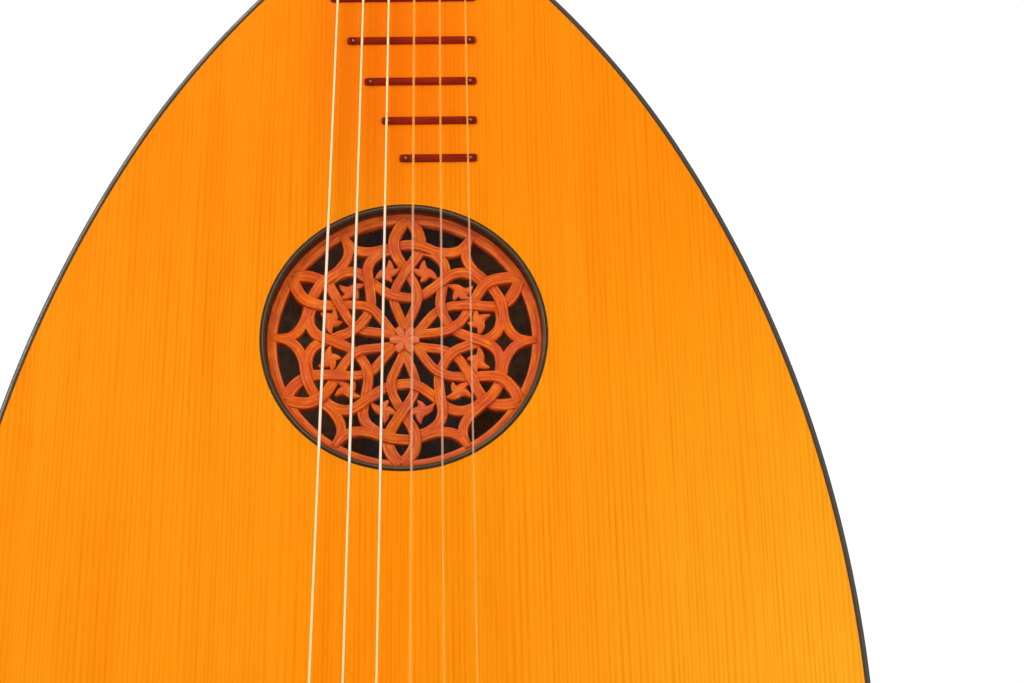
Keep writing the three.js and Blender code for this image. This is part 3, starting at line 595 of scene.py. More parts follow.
SEAT = grained_wood("pin_seat_wood", (0.08, 0.006, 0.002), (0.15, 0.012, 0.003), axis="X",
                    pitch=0.6 * MM, length=6 * MM, roughness=0.5, coat=0.0, shine=0.05)
BONE = bone()
STEEL = metal("steel", (0.55, 0.55, 0.57))
PIN = metal("pin_metal", (0.42, 0.11, 0.075))
BASS = bass_string()
TREBLE = treble_string()


# ---- Body outline ----


def outline_step(t):
    """Place and normal of the half outline: t 0 at the tail, 1 at the neck."""
    if t < TAIL_SHARE:
        angle = math.pi / 2 * t / TAIL_SHARE
        out, down = math.sin(angle), math.cos(angle)
        place = Vector((BODY_HALF_WIDTH * out, WIDEST_Z - TAIL_LENGTH * down))
        return place, Vector((TAIL_LENGTH * out, -BODY_HALF_WIDTH * down)).normalized()
    angle = JOINT_ANGLE * (t - TAIL_SHARE) / (1 - TAIL_SHARE)
    normal = Vector((math.cos(angle), math.sin(angle)))
    if angle < SHOULDER_ANGLE:
        return Vector((BODY_HALF_WIDTH - FLANK_RADIUS, WIDEST_Z)) + FLANK_RADIUS * normal, normal
    return Vector((SHOULDER_X, SHOULDER_Z)) + SHOULDER_RADIUS * normal, normal


def outline(inset, count=150):
    """The outline moved inwards, from the treble side of the neck round to the bass side."""
    half = []
    for t in spread(count, 0, 1):
        place, normal = outline_step(t)
        point = place - inset * normal
        half.append(Vector((max(point.x, 0), min(point.y, JOINT_Z))))
    half[-1].y = JOINT_Z
    bass = [Vector((-p.x, p.y)) for p in half[1:]]
    return half[::-1] + bass


# ---- Soundboard and edging ----


def build_soundboard():
    """A flat board with a round hole, in sections that run out from the hole to the rim."""
    centre = Vector((0, ROSE_Z))
    sections = []
    for edge in outline(EDGING_WIDTH):
        hole = centre + (edge - centre).normalized() * (RING_RADIUS - 0.3 * MM)
        places = [hole.lerp(edge, t) for t in spread(10, 0, 1)]
        front = [Vector((place.x, FACE_Y, place.y)) for place in places]
        back = [Vector((place.x, BACK_Y, place.y)) for place in reversed(places)]
        sections.append(front + back)
    add_piece("board_top", loft(sections, closed=True), SPRUCE, replaces=["soundboard"])


def build_edging():
    """A strip with a rounded crest, let in round the soundboard."""
    rise = FACE_Y - EDGE_LOW.y
    crest = [(0.5 - 0.5 * math.cos(a), rise * math.sin(a)) for a in spread(9, 0, math.pi)]
    rings, tone_and_highlight = [], []
    for a, b in zip(outline(0), outline(EDGING_WIDTH)):
        ring = [Vector((a.x, BACK_Y, a.y))]
        for share, height in crest:
            place = a.lerp(b, share)
            ring.append(Vector((place.x, FACE_Y - height, place.y)))
        ring.append(Vector((b.x, BACK_Y, b.y)))
        rings.append(ring)
        tone_and_highlight += [0.0] + [share for share, _ in crest] + [1.0]
    add_piece("board_edge", loft(rings), EDGING, replaces=["soundboard_edging"], shading_and_tone=tone_and_highlight,
              sharp=50)


# ---- Rose ----

# Ribbons for the upward axis of the six-fold pattern, as (across, up, half-width) on a rim
# of radius 1. A petal ribbon runs from the centre to the rim and crosses its mirror image.
PETAL = [
    (0.0, 0.09, 0.036), (0.030, 0.17, 0.036), (0.064, 0.25, 0.037), (0.092, 0.33, 0.037),
    (0.093, 0.39, 0.037), (0.076, 0.46, 0.037), (0.040, 0.53, 0.038), (0.0, 0.60, 0.040),
    (-0.046, 0.67, 0.041), (-0.086, 0.74, 0.043), (-0.105, 0.81, 0.045), (-0.100, 0.88, 0.047),
    (-0.070, 0.95, 0.048), (-0.034, 1.0, 0.046), (0.0, 1.03, 0.044),
]
# Half of each cross band, from the axis outwards.
OUTER_BAND = [
    (0.0, 0.822, 0.042), (0.08, 0.816, 0.042), (0.16, 0.792, 0.042), (0.24, 0.766, 0.040),
    (0.32, 0.757, 0.040), (0.39, 0.767, 0.040), (0.44, 0.797, 0.036), (0.475, 0.842, 0.027),
    (0.505, 0.892, 0.020),
]
INNER_BAND = [
    (0.0, 0.365, 0.040), (0.07, 0.371, 0.040), (0.14, 0.397, 0.040), (0.20, 0.437, 0.041),
    (0.26, 0.484, 0.042), (0.32, 0.535, 0.042), (0.38, 0.573, 0.042), (0.45, 0.585, 0.041),
    (0.52, 0.566, 0.040), (0.575, 0.53, 0.038), (0.605, 0.49, 0.034),
]
# The middle and the four tips of the leaf on the right of the axis, as (across, up).
LEAF_CENTRE = (0.148, 0.585)
LEAF_TIPS = [(0.048, 0.618), (0.140, 0.690), (0.246, 0.522), (0.112, 0.500)]
WINDOW_RADIUS = 44.7 * MM
ROSE_FRONT = FACE_Y + 5.2 * MM
ROSE_TURN = math.radians(-1.2)
CROSSING_LIFT = 0.5 * MM
# Depth of the leaves' and petals' foot below the front, and a drop that means the very back.
FOOT = 2.2 * MM
TO_BACK = 9.0


def rose_point(across, up, depth, turn):
    """A point of the rose: pattern units across and up, metres of depth below its front."""
    turn += ROSE_TURN
    x = (across * math.cos(turn) - up * math.sin(turn)) * WINDOW_RADIUS
    z = (across * math.sin(turn) + up * math.cos(turn)) * WINDOW_RADIUS
    return Vector((x, ROSE_FRONT + depth, ROSE_Z + z))


def mirrored(rows):
    return [(-across, up, width) for across, up, width in rows]


def both_halves(rows):
    return mirrored(rows)[::-1][:-1] + list(rows)


# Across a ribbon: share of its half-width, depth below its top, and how dark it is painted, which is
# painted shade in the grooves and down the sides.
RIBBON_SECTION = [
    (-1.0, TO_BACK, 0.85), (-1.0, 0.45, 0.45), (-0.95, 0.15, 0.2), (-0.84, 0.03, 0.0),
    (-0.52, 0.0, 0.0), (-0.44, 0.08, 0.34), (-0.36, 0.0, 0.0), (0.0, -0.04, 0.0),
    (0.34, 0.0, 0.0), (0.42, 0.10, 0.40), (0.50, 0.0, 0.0), (0.84, 0.03, 0.0),
    (0.95, 0.15, 0.2), (1.0, 0.45, 0.45), (1.0, TO_BACK, 0.85),
]
RIM_LIFT = 1.25 * MM


def eased(value):
    value = limited(value)
    return value * value * (3 - 2 * value)


def ribbon(rows, crossings, turn):
    """A carved ribbon with fine grooves that lifts over, or dips under, at its crossings.

    A crossing is (across, up, side): side +1 passes over and -1 passes under.
    """
    path = smooth_path(rows, 7)
    rings, shading_and_tone, grain = [], [], []
    run = 0.0
    for i, (across, up, width) in enumerate(path):
        ahead = path[min(i + 1, len(path) - 1)]
        behind = path[max(i - 1, 0)]
        along = Vector((ahead[0] - behind[0], ahead[1] - behind[1])).normalized()
        run += math.hypot(across - behind[0], up - behind[1]) * WINDOW_RADIUS
        lift = RIM_LIFT * eased((math.hypot(across, up) - 0.88) / 0.13)
        for cross_x, cross_y, side in crossings:
            gap = math.hypot(across - cross_x, up - cross_y)
            lift += side * CROSSING_LIFT * eased((0.105 - gap) / 0.06)
        ring = []
        for share, drop, dark in RIBBON_SECTION:
            x = across - along.y * share * width
            y = up + along.x * share * width
            depth = ROSE_HIGH.y - ROSE_FRONT if drop == TO_BACK else drop * MM - lift
            ring.append(rose_point(x, y, depth, turn))
            shading_and_tone.append(dark)
            grain.append((run, share * width * WINDOW_RADIUS, turn * 3 + rows[0][0] * 9))
        rings.append(ring)
    return loft(rings), shading_and_tone, grain


# Across a leaf arm: share of its half-width, depth, and how dark it is painted: painted shade down
# the sides, a painted highlight on the middle.
LEAF_SECTION = [
    (-1, TO_BACK, 0.85), (-1, 0.55, 0.3), (-0.7, 0.25, 0.0), (0, 0.10, -0.12), (0.7, 0.25, 0.0),
    (1, 0.55, 0.3), (1, TO_BACK, 0.85),
]


def leaf(side, turn):
    """Four pointed curved arms with raised middles, growing from one broad body."""
    arms, shading_and_tone, grain = [], [], []
    start = Vector((side * LEAF_CENTRE[0], LEAF_CENTRE[1]))
    for number, (tip_x, tip_y) in enumerate(LEAF_TIPS):
        along = Vector((side * tip_x, tip_y)) - start
        normal = Vector((-along.y, along.x)).normalized()
        rings = []
        for t in spread(11, -0.12, 1):
            half = 0.040 - 0.025 * eased(t)
            half *= math.sqrt(max(0.02, 1 - max(0.0, (t - 0.72) / 0.28) ** 2))
            place = start + along * t + normal * side * 0.014 * math.sin(math.pi * t)
            ring = []
            for share, drop, dark in LEAF_SECTION:
                point = place + normal * share * half
                depth = 2.1 * MM if drop == TO_BACK else drop * MM
                ring.append(rose_point(point.x, point.y, depth, turn))
                shading_and_tone.append(dark)
                grain.append((t * 4 * MM, share * half * WINDOW_RADIUS, turn * 3 + number))
            rings.append(ring)
        arms.append(loft(rings))
    return join_parts(arms), shading_and_tone, grain


def rose_rim():
    """The outer ring of the carving: a lit inner crest and a darker slope up to the ring."""
    # Each ring of the section: radius, depth, and how dark it is painted; the crest is painted paler,
    # a painted highlight, and the faces back into the rose dark, painted shade.
    section = [
        (WINDOW_RADIUS - 0.1 * MM, 2.3, 0.85), (WINDOW_RADIUS - 0.1 * MM, -0.25, 0.25),
        (WINDOW_RADIUS + 0.1 * MM, -0.55, -0.3), (WINDOW_RADIUS + 0.4 * MM, -0.70, -0.15),
        (WINDOW_RADIUS + 1.5 * MM, -0.80, 0.0), (WINDOW_RADIUS + 1.75 * MM, -0.82, 0.5),
        (WINDOW_RADIUS + 2.0 * MM, -1.0, 0.42), (WINDOW_RADIUS + 2.7 * MM, -1.75, 0.42),
        (WINDOW_RADIUS + 3.0 * MM, -1.85, 0.6), (WINDOW_RADIUS + 3.1 * MM, -1.70, 1.2),
        (ROSE_RADIUS, -1.70, 1.0), (ROSE_RADIUS, 2.3, 0.85),
    ]
    profile = [(radius, drop * MM) for radius, drop, _ in section]
    sides = 220
    mesh_data = lathe(profile, sides, Vector((0, ROSE_FRONT, ROSE_Z)))
    grain = []
    for i in range(sides):
        fold = min(i, sides - i)
        grain += [(fold * 1.3 * MM, radius, 7.0) for radius, _, _ in section]
    return mesh_data, [dark for _, _, dark in section] * sides, grain


def rose_button():
    """Six small domed petals round the centre."""
    petals, shading_and_tone, grain = [], [], []
    length = 0.115
    for k in range(6):
        turn = k * math.pi / 3 + math.pi / 6
        rings = []
        for t in spread(9, 0, 1):
            half = 0.006 + 0.046 * math.sin(math.pi * (0.08 + 0.80 * t)) ** 0.9 * (0.35 + 0.65 * t)
            dome = 1.45 * MM * math.sin(math.pi * (0.10 + 0.72 * t))
            # The dome is painted paler, a painted highlight, and its edges and foot darker, painted
            # shade.
            section = []
            for angle in spread(9, 0, math.pi):
                share = -math.cos(angle)
                depth = 0.1 * MM - dome * math.sin(angle)
                section.append((share, depth, 1.3 * abs(share) ** 5 - 0.45))
            section += [(1, FOOT, 1.0), (-1, FOOT, 1.0)]
            rings.append([rose_point(a * half, length * t, depth, turn) for a, depth, _ in section])
            shading_and_tone += [dark for _, _, dark in section]
            grain += [(t * 4 * MM, a * half * WINDOW_RADIUS, 11.0 + k) for a, _, _ in section]
        petals.append(loft(rings))
    return join_parts(petals), shading_and_tone, grain


def build_rose():
    inner = 0.093, 0.372
    outer = 0.105, 0.81
    meet = 0.30, 0.52
    band_end = 0.605, 0.49
    middle = 0.0, 0.60

    def crossing(place, mirror, side):
        return mirror * place[0], place[1], side

    petal = [crossing(inner, 1, 1), crossing(middle, 1, -1), crossing(outer, -1, 1)]
    twin = [(-across, up, -side) for across, up, side in petal]
    outer_band = [crossing(outer, -1, -1), crossing(outer, 1, 1)]
    inner_band = [crossing(inner, -1, 1), crossing(inner, 1, -1), crossing(meet, 1, 1),
                  crossing(meet, -1, -1), crossing(band_end, 1, -1), crossing(band_end, -1, -1)]
    parts = [rose_rim(), rose_button()]
    for k in range(6):
        turn = k * math.pi / 3
        parts.append(ribbon(PETAL, petal, turn))
        parts.append(ribbon(mirrored(PETAL), twin, turn))
        parts.append(ribbon(both_halves(OUTER_BAND), outer_band, turn))
        parts.append(ribbon(both_halves(INNER_BAND), inner_band, turn))
        parts.append(leaf(1, turn))
        parts.append(leaf(-1, turn))
    shading_and_tone = [value for part in parts for value in part[1]]
    grain = [place for part in parts for place in part[2]]
    add_piece("rose_carving", join_parts([part[0] for part in parts]), ROSE, replaces=["rose"],
              shading_and_tone=shading_and_tone, grain=grain, sharp=48)


def build_ring():
    """The dark ring let into the soundboard, with a rounded lip and a fine turned line."""
    inner = RING_RADIUS - 1.9 * MM
    # The third value is the ring's mark: 1 is a painted highlight along the fine line, 0.4 the
    # red-brown stain of the wall.
    section = [
        (RING_RADIUS + 0.05 * MM, 2.0, 0), (RING_RADIUS + 0.05 * MM, -0.05, 0.2),
        (RING_RADIUS - 0.2 * MM, -0.28, 0), (RING_RADIUS - 0.75 * MM, -0.42, 0),
        (RING_RADIUS - 0.90 * MM, -0.36, 1.0), (RING_RADIUS - 1.12 * MM, -0.36, 1.0),
        (RING_RADIUS - 1.25 * MM, -0.42, 0), (RING_RADIUS - 1.4 * MM, -0.40, 0.6),
        (inner + 0.2 * MM, -0.25, 0.6), (inner, 0.1, 0.2), (inner, 1.5, 0.1),
        (inner + 0.02 * MM, 3.0, 0.4), (inner + 0.04 * MM, 6.3, 0.4),
        (RING_RADIUS, 6.3, 0),
    ]
    profile = [(radius, depth * MM) for radius, depth, _ in section]
    sides = 240
    ring_tone_and_highlight = [tone_and_highlight for _, _, tone_and_highlight in section] * sides
    add_piece("rose_surround", lathe(profile, sides, Vector((0, FACE_Y, ROSE_Z))), RING,
              replaces=["rose_ring"], shading_and_tone=ring_tone_and_highlight, sharp=60)


# ---- Round back ----


def bowl_point(t, angle, inset):
    place, normal = outline_step(t)
    w = place.x - inset * normal.x
    z = place.y - inset * normal.y
    return Vector((w * math.cos(angle), BACK_Y + BOWL_RATIO * w * math.sin(angle), z))


def build_ribs():
    """Swollen strips from the tail to the neck, dark and light in turn."""
    shares = [0, 0.012, 0.04, 0.12, 0.25, 0.38, 0.5, 0.62, 0.75, 0.88, 0.96, 0.988, 1]
    seam_depth = 0.16 * MM
    half_swell = 0.5
    for i in range(RIB_COUNT):
        first = math.pi * i / RIB_COUNT
        second = math.pi * (i + 1) / RIB_COUNT
        outer, inner = [], []
        for t in spread(110, 0.042, 1):
            a = bowl_point(t, first, 0)
            b = bowl_point(t, second, 0)
            out = bowl_point(t, (first + second) / 2, 0) - (a + b) / 2
            row = []
            for share in shares:
                swell = half_swell * 4 * share * (1 - share)
                edge = seam_depth if share in (0, 1) else 0.0
                row.append(a.lerp(b, share) + out * swell - out.normalized() * edge)
            outer.append(row)
            under_a = bowl_point(t, first, RIB_THICKNESS)
            under_b = bowl_point(t, second, RIB_THICKNESS)
            inner.append([under_a.lerp(under_b, share) for share in shares])
        add_piece(f"bowl_rib_{i + 1}", shell(outer, inner), RIB_LIGHT if i % 2 else RIB_DARK,
                  replaces=[f"rib_{i + 1}"], sharp=30)


def build_end_clasp():
    """The strip round the tail, widest at the middle, with a curved lower edge."""
    half_angle = math.radians(72)
    end_width = 6 * MM
    extra_width = 24 * MM
    bowl_depth = BODY_HALF_WIDTH * BOWL_RATIO

    def grid(offset):
        rows = []
        for angle in spread(91, -half_angle, half_angle):
            taper = 1 - (angle / half_angle) ** 2
            row = []
            for depth in spread(9, 0, end_width + extra_width * taper):
                shrink = math.sqrt(1 - (depth / bowl_depth) ** 2)
                x = BODY_HALF_WIDTH * shrink * math.sin(angle)
                drop = TAIL_LENGTH * shrink * math.cos(angle)
                normal = Vector((x / BODY_HALF_WIDTH**2, depth / bowl_depth**2,
                                 -drop / TAIL_LENGTH**2)).normalized()
                row.append(Vector((x, BACK_Y + depth, WIDEST_Z - drop)) + normal * offset)
            rows.append(row)
        return rows

    mesh_data = shell(grid(1.7 * MM), grid(0.05 * MM))
    bevel(add_piece("tail_clasp", mesh_data, RIB_DARK, replaces=["end_clasp"], sharp=40), 0.5 * MM, 2)


def build_end_button():
    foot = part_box("end_button")[0].z
    rows = [(0.1, 0), (5.6, 0.0), (6.5, 0.15), (7.7, 1.1), (8.0, 2.6), (7.7, 4.1), (6.2, 6.0),
            (5.0, 8.0), (5.1, 10.5), (5.9, 12.6), (6.9, 14.2), (6.9, 14.7)]
    profile = in_mm(smooth_path(rows, 3) + [(0.1, 14.7)])
    mesh_data = lathe(profile, 64, Vector((0, 0, foot)), axis="Z")
    add_piece("tail_button", mesh_data, PEG_WOOD, replaces=["end_button"])


# ---- Neck, fingerboard, nut and frets ----


# How far the foot of the pegbox leans, as a share of its depth.
ROOT_LEAN = 0.4833


def neck_half_width(z):
    return JOINT_HALF_WIDTH + (NUT_HIGH.x - JOINT_HALF_WIDTH) * (z - JOINT_Z) / NECK_LENGTH


def joint_face_z(y):
    """Height of the sloping face where the neck meets the pegbox."""
    along_y = ROOT_LEAN * math.sin(BEND_ANGLE) + math.cos(BEND_ANGLE)
    along_z = ROOT_LEAN * math.cos(BEND_ANGLE) - math.sin(BEND_ANGLE)
    return PEGBOX_ROOT.z + (y - PEGBOX_ROOT.y) * along_z / along_y


def build_neck():
    """A rounded neck that deepens a little towards the body and then flares into the heel."""
    front = FINGERBOARD_HIGH.y
    root_depth = NECK_HIGH.y - front
    nut_depth = 19 * MM
    taper = 2.6 * MM
    heel_length = 14 * MM
    rings = []
    for share in spread(40, 0, 1):
        z = JOINT_Z + NECK_LENGTH * share
        heel = math.exp(-share * NECK_LENGTH / heel_length)
        depth = nut_depth + taper * (1 - share) + (root_depth - nut_depth - taper) * heel
        w = neck_half_width(z)
        ring = []
        for angle in spread(49, 0, math.pi):
            y = front + depth * math.sin(angle)
            top = joint_face_z(y) if share == 1 else z - 0.25 * (y - front) * share**6
            ring.append(Vector((w * math.cos(angle), y, top)))
        rings.append(ring)
    add_piece("neck_shaft", loft(rings), NECK_WOOD, replaces=["neck"], sharp=40)


def keep_node(name, look, width=0.0):
    """Gives a carried-over CAD node a material and, if asked, rounded edges."""
    node = frame["nodes"][name]
    node.data.materials.clear()
    node.data.materials.append(look)
    if node.data.attributes.get("custom_normal"):
        node.data.attributes.remove(node.data.attributes["custom_normal"])
    weld = node.modifiers.new("joined corners", "WELD")
    weld.merge_threshold = 0.002 * MM
    if width:
        bevel(node, width, 3, 30)
        node.data.shade_smooth()
        node.data.set_sharp_from_angle(angle=math.radians(60))
    return node


def build_nut():
    """A bone bar with a rounded top and a slot for each string."""
    length = NUT_HIGH.z - NUT_LOW.z
    half = NUT_HIGH.x
    top = NUT_LOW.y
    slots = [string_x(number, NUT_LOW.z) for number in range(1, 7)]
    rings = []
    for x in spread(240, -half, half):
        dip = 0.0
        for number, slot_x in enumerate(slots):
            gap = abs(x - slot_x) / (STRING_RADII[number] * 1.25)
            dip = max(dip, 0.35 * MM * math.sqrt(max(0.0, 1 - gap * gap)))
        edge = min(1.0, (half - abs(x)) / (0.7 * MM))
        drop = 0.5 * MM * (1 - math.sqrt(max(0.0, 1 - (1 - edge) ** 2)))
        crown = [(0, NUT_HIGH.y, 0), (0, top + 0.5 * MM, 0), (0.12, top + 0.1 * MM, 1),
                 (0.3, top, 1), (0.6, top + 0.12 * MM, 1), (0.85, top + 0.6 * MM, 1),
                 (1, top + 1.3 * MM, 0.6), (1, NUT_HIGH.y, 0)]
        rings.append([
            Vector((x, y + (dip + drop) * cut, NUT_LOW.z + length * share))
            for share, y, cut in crown
        ])
    add_piece("nut_bar", loft(rings), BONE, replaces=["nut"], sharp=50)


def build_frets():
    """Half-round bars with round ends, each held by a small pin near both ends."""
    rise = 1.2 * MM
    pin_inset = 2.3 * MM
    ends = [0.04, 0.12, 0.25, 0.42, 0.62, 0.82, 1.0]
    pins = []
    for number in range(1, 17):
        low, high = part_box(f"fret_{number}")
        centre_z = (low.z + high.z) / 2
        radius = (high.z - low.z) / 2
        places = [(low.x + radius * e, e) for e in ends]
        places += [(high.x - radius * e, e) for e in ends[::-1]]
        rings = []
        for x, e in places:
            share = (1 - (1 - e) ** 3.5) ** (1 / 3.5)
            ring = []
            for angle in spread(15, 0, math.pi):
                height = rise * math.sin(angle) ** 0.62 * (0.35 + 0.65 * share)
                z = centre_z + radius * share * math.cos(angle)
                ring.append(Vector((x, FACE_Y - height, z)))
            rings.append(ring)
        add_piece(f"fret_bar_{number}", loft(rings), FRET_WOOD, replaces=[f"fret_{number}"],
                  sharp=60)
        for x in (low.x + pin_inset, high.x - pin_inset):
            pins.append(Vector((x, FACE_Y - rise, centre_z - 0.25 * MM)))
    dome = [(0.02, -0.34), (0.30, -0.32), (0.50, -0.22), (0.62, -0.06), (0.62, 0.5), (0.02, 0.5)]
    seat = [(0.5, -0.02), (1.15, -0.06), (1.25, 0.08), (1.25, 0.5), (0.5, 0.5)]
    for name, section, look in (("fret_pins", dome, PIN), ("fret_pin_seats", seat, SEAT)):
        profile = in_mm(section)
        add_piece(name, join_parts([lathe(profile, 20, place) for place in pins]), look)


# ---- Bridge ----


def build_bridge():
    """A tie bridge: a moulded block over the strings' width, running out to low pointed ends."""
    middle_x = (BRIDGE_LOW.x + BRIDGE_HIGH.x) / 2
    middle_z = (BRIDGE_LOW.z + BRIDGE_HIGH.z) / 2
    length = BRIDGE_HIGH.z - BRIDGE_LOW.z
    half = BRIDGE_HIGH.x - middle_x
    block = 38 * MM
    full = FACE_Y - BRIDGE_LOW.y
    tip_rise = 2.2 * MM
    wing_rise = 1.6 * MM
    # Share of a wing that slopes down from the block; the rest narrows to the point.
    slope = 0.36
    section = [
        (-0.5, 0.0), (-0.5, 0.30), (-0.46, 0.42), (-0.40, 0.62), (-0.34, 0.70), (-0.12, 0.72),
        (-0.04, 0.78), (0.02, 0.97), (0.08, 1.0), (0.40, 1.0), (0.48, 0.96), (0.5, 0.88),
        (0.5, 0.0),
    ]
    rings = []
    for x in spread(181, -half, half):
        out = max(0.0, (abs(x) - block) / (half - block))
        shoulder = 0.5 + 0.5 * math.cos(math.pi * limited(out / slope))
        rise = tip_rise + (full - tip_rise) * shoulder + wing_rise * (1 - shoulder) * (1 - out)
        pinch = 1 - 0.86 * max(0.0, (out - slope) / (1 - slope)) ** 2.2
        rings.append([
            Vector((middle_x + x, FACE_Y - rise * h, middle_z + length * pinch * along))
            for along, h in section
        ])
    piece = add_piece("string_bridge", loft(rings), BRIDGE_WOOD, replaces=["bridge"])
    bevel(piece, 0.35 * MM, 2, 38)


# ---- Pegbox and pegs ----

# String number, side of the head and where the string lands, in order from the nut.
PEG_ORDER = [(6, -1, -12), (1, 1, 11), (5, -1, -8), (2, 1, 7), (4, -1, -4), (3, 1, 3)]


def peg_centre(string):
    joint = next(j for j in frame["joints"] if j["name"] == f"peg_{string}_turn")
    return Vector(joint["pos_m"])


def box_half_width(along):
    """Outer half-width of the pegbox, which narrows towards its tip."""
    return NUT_HIGH.x + (PEGBOX_TIP_HALF_WIDTH - NUT_HIGH.x) * along / PEGBOX_LENGTH


def build_pegs():
    """Turned and flattened friction pegs, each with the coil of its string."""
    for string, side, across in PEG_ORDER:
        centre = peg_centre(string)
        local = PEGBOX_FRAME.inverted() @ centre
        wall = box_half_width(local.z) / MM
        rows = [
            (-wall - 3.0, 1.2, 1.2), (-wall - 2.7, 2.6, 2.6), (-wall - 2.0, 3.45, 3.45),
            (-wall, 3.62, 3.62), (0, 3.9, 3.9), (wall, 4.15, 4.15), (wall + 2.4, 4.2, 4.2),
            (wall + 3.2, 4.9, 4.9), (wall + 3.7, 5.9, 5.9), (wall + 4.6, 6.25, 6.25),
            (wall + 5.6, 6.25, 6.25), (wall + 6.5, 5.8, 5.8), (wall + 7.0, 4.6, 4.6),
            (wall + 7.6, 3.9, 3.9), (wall + 9.5, 3.6, 3.7), (wall + 12, 3.4, 4.3),
            (wall + 14.5, 3.3, 6.2), (wall + 17.5, 3.25, 8.8), (wall + 21, 3.2, 10.6),
            (wall + 25, 3.1, 11.0), (wall + 29, 2.9, 9.6), (wall + 31.8, 2.6, 7.0),
            (wall + 33.3, 2.3, 4.2), (wall + 33.9, 1.9, 2.4), (wall + 34.3, 1.7, 1.9),
            (wall + 35.0, 1.3, 1.4), (wall + 35.3, 0.4, 0.4),
        ]
        rings = []
        for x, thick, wide in smooth_path(rows, 3):
            head = limited((x - wall - 12) / 6)
            ring = []
            for k in range(40):
                angle = 2 * math.pi * k / 40
                y = max(0.2, thick) * math.cos(angle)
                z = max(0.2, wide) * math.sin(angle)
                dish = 1 - 0.30 * head * math.cos(angle) ** 2
                place = PEGBOX_TURN @ Vector((0, y * dish * MM, z * MM))
                ring.append(centre + Vector((side * x * MM, 0, 0)) + place)
            rings.append(ring)
        body = f"peg_{string}_turning"
        add_piece(f"peg_turned_{string}", loft(rings), PEG_WOOD, body=body,
                  replaces=[f"peg_{string}"], sharp=50)
        build_coil(string, side, across * MM, centre, body)


def build_coil(string, side, across, centre, body):
    """Four turns of the string round its peg, starting on the open side."""
    radius = STRING_RADII[string - 1]
    turns = 4
    steps = 28
    pitch = radius * 2.08
    points = []
    for i in range(turns * steps + 1):
        angle = 2 * math.pi * i / steps
        shift = side * pitch * angle / (2 * math.pi)
        out = PEGBOX_TURN @ Vector((0, -math.cos(angle), math.sin(angle))) * (PEG_WAIST + radius)
        points.append(Vector((across + shift, centre.y, centre.z)) + out)
    look = BASS if string > 3 else TREBLE
    add_piece(f"string_coil_{string}", tube(points, radius, 10), look, body=body)


# ---- Strings ----


def string_x(string, z):
    """Sideways place of a string at height z: the strings fan out towards the bridge."""
    rise = z - ROSE_Z
    centre = -1.9 * MM + 0.0051 * rise
    return centre + (3.5 - string) * (10.1 * MM - 0.0053 * rise)


def build_strings():
    """Each string from the bridge over the nut to its peg, with its knot at the bridge."""
    for string, _, across in PEG_ORDER:
        radius = STRING_RADII[string - 1]
        look = BASS if string > 3 else TREBLE
        nut_y = NUT_LOW.y - 0.06 * MM - radius
        nut_x = string_x(string, NUT_LOW.z)
        bridge_x = string_x(string, BRIDGE_HIGH.z)
        bridge_y = FACE_Y - 9 * MM - radius
        start = Vector((bridge_x, bridge_y, BRIDGE_HIGH.z - 0.5 * MM))
        nut = Vector((nut_x, nut_y, NUT_LOW.z))
        over = Vector((nut_x, nut_y, NUT_HIGH.z - 1.2 * MM))
        local = PEGBOX_FRAME.inverted() @ peg_centre(string)
        landing = PEGBOX_FRAME @ Vector((across * MM, local.y - PEG_WAIST - radius, local.z))
        bend = over.lerp(landing, 1.5 * MM / (landing - over).length) + Vector((0, -0.1 * MM, 0))
        points = [start.lerp(nut, t) for t in spread(12, 0, 1)]
        points += [over, bend]
        points += [bend.lerp(landing, t) for t in spread(5, 0.25, 1)]
        add_piece(f"string_line_{string}", tube(points, radius, 20), look,
                  replaces=[f"string_{string}"])
        build_tie(string, bridge_x, bridge_y, radius, look)


def build_tie(string, x, y, radius, look):
    """The knot: out of the back of the bridge, up over its top and round the string."""
    front = BRIDGE_HIGH.z / MM
    back = BRIDGE_LOW.z / MM
    top = BRIDGE_LOW.y / MM
    x, y, thick = x / MM, y / MM, radius / MM
    rows = [
        (x, y + 5.2, back + 3), (x, y + 5.4, back - 0.6), (x + 0.3, y + 4.0, back - 1.1),
        (x + 0.9, y + 2.2, back + 0.2), (x + 1.2, top + 2.1, back + 3.5),
        (x + 1.3, top - thick, back + 8.4), (x + 1.3, top - thick * 1.3, front - 1.2),
        (x + 1.1, top + 0.3, front + 0.5), (x + 0.2, top + 1.6, front + 1.1),
        (x - 1.0, top + 1.0, front + 0.8), (x - 1.3, top - thick, front - 1.0),
        (x - 1.2, top - thick, back + 8.0), (x - 0.8, top + 1.9, back + 4.2),
    ]
    points = [Vector(place) * MM for place in smooth_path(rows, 6)]
    add_piece(f"string_tie_{string}", tube(points, radius * 0.9, 10), look)


# ---- Stage, light and camera ----

# The backdrop, and the floor far away, are a little over white for the camera.
WHITE_STRENGTH = 1.05
MIDDLE = Vector((0, 0.02, 0.42))


def build_stage():
    n = Nodes("floor")
    mottle = n.noise((3, 3, 3))
    n.colour = n.ramp(mottle, (0.3, (0.84, 0.84, 0.83)), (0.7, (0.88, 0.88, 0.87)))
    look = n.finish(0.7)
    # Far from the instrument the floor turns into the white of the backdrop.
    far = n.ramp(n.reach(("X", 0.0, 4.0), ("Y", 0.0, 4.0)), (0.08, 0.0), (0.5, 1.0))
    rays = n.node("LightPath").outputs["Is Camera Ray"]
    n.send_mix(n.product(far, rays), n.shader, n.node("Emission", Strength=WHITE_STRENGTH))
    reach = 20.0
    mesh = bpy.data.meshes.new("floor")
    corners = [(-reach, -reach, 0), (reach, -reach, 0), (reach, reach, 0), (-reach, reach, 0)]
    mesh.from_pydata(corners, [], [(0, 1, 2, 3)])
    mesh.materials.append(look)
    add_object("floor", mesh)


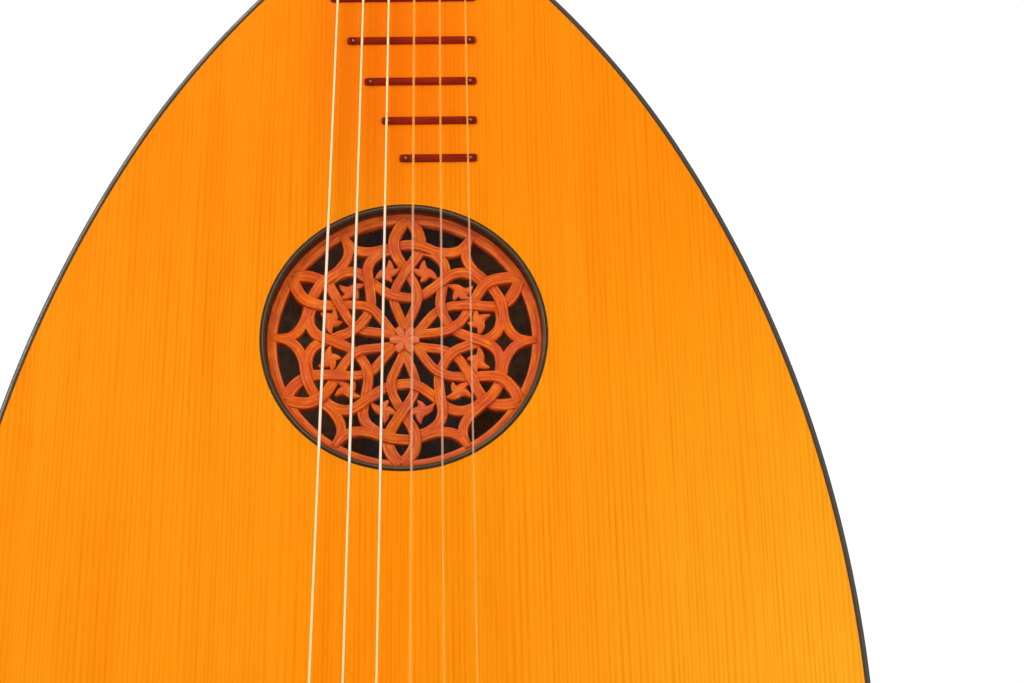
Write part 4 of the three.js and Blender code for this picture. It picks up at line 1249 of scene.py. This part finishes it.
def build_world():
    """White all round for the camera, and a softer white as light."""
    n = Nodes("studio", world=True)
    bpy.context.scene.world = n.look
    n.put((1, 0.99, 0.975, 1), n.shader.inputs["Color"])
    n.put(0.55, n.shader.inputs["Strength"])
    seen = n.node("Background", Color=(1, 1, 1, 1), Strength=WHITE_STRENGTH)
    n.send_mix(n.node("LightPath").outputs["Is Camera Ray"], n.shader, seen)


def add_area(name, place, size, power):
    """A soft lamp aimed at the middle of the instrument."""
    lamp = bpy.data.lights.new(name, "AREA")
    lamp.shape = "RECTANGLE"
    lamp.size, lamp.size_y = size
    lamp.energy = power
    light = add_object(name, lamp)
    light.location = place
    light.rotation_mode = "QUATERNION"
    light.rotation_quaternion = (MIDDLE - Vector(place)).to_track_quat("-Z", "Y")


def build_camera():
    """Looks up at the rose from below the bridge, a little from the treble side."""
    camera = bpy.data.cameras.new("camera")
    camera.sensor_width = 36
    camera.lens = 70.1
    camera.clip_start = 0.01
    viewer = add_object("camera", camera)
    face = Vector((0, FACE_Y, ROSE_Z))
    place = face + Vector((27.76, -639.44, -264.81)) * MM
    aim = face + Vector((37.44, 0, -3.22)) * MM
    roll = math.radians(-1.004)
    look = (aim - place).to_track_quat("-Z", "Y")
    viewer.location = place
    viewer.rotation_mode = "QUATERNION"
    viewer.rotation_quaternion = look @ Matrix.Rotation(roll, 3, "Z").to_quaternion()
    bpy.context.scene.camera = viewer


build_soundboard()
build_edging()
build_rose()
build_ring()
build_ribs()
build_end_clasp()
build_end_button()
build_neck()
keep_node("fingerboard", EBONY, 0.25 * MM)
build_nut()
build_frets()
build_bridge()
for part in ("pegbox_bass_cheek", "pegbox_treble_cheek", "pegbox_back"):
    keep_node(part, NECK_WOOD, 0.7 * MM)
for part in ("pegbox_root_block", "pegbox_end_block"):
    keep_node(part, NECK_WOOD, 0.4 * MM)
for part in ("neck_block", "tail_block", "brace_1", "brace_2", "brace_3", "brace_4", "treble_bar"):
    keep_node(part, INNER)
keep_node("neck_screw", STEEL)
build_pegs()
build_strings()

build_stage()
build_world()
add_area("key", (-1.0, -1.6, 1.5), (1.2, 1.2), 26)
add_area("fill", (1.4, -1.2, 0.7), (1.2, 1.6), 11)
add_area("back", (0.6, 1.8, 1.3), (1.4, 1.0), 22)
bpy.context.scene.view_settings.view_transform = "Standard"
build_camera()
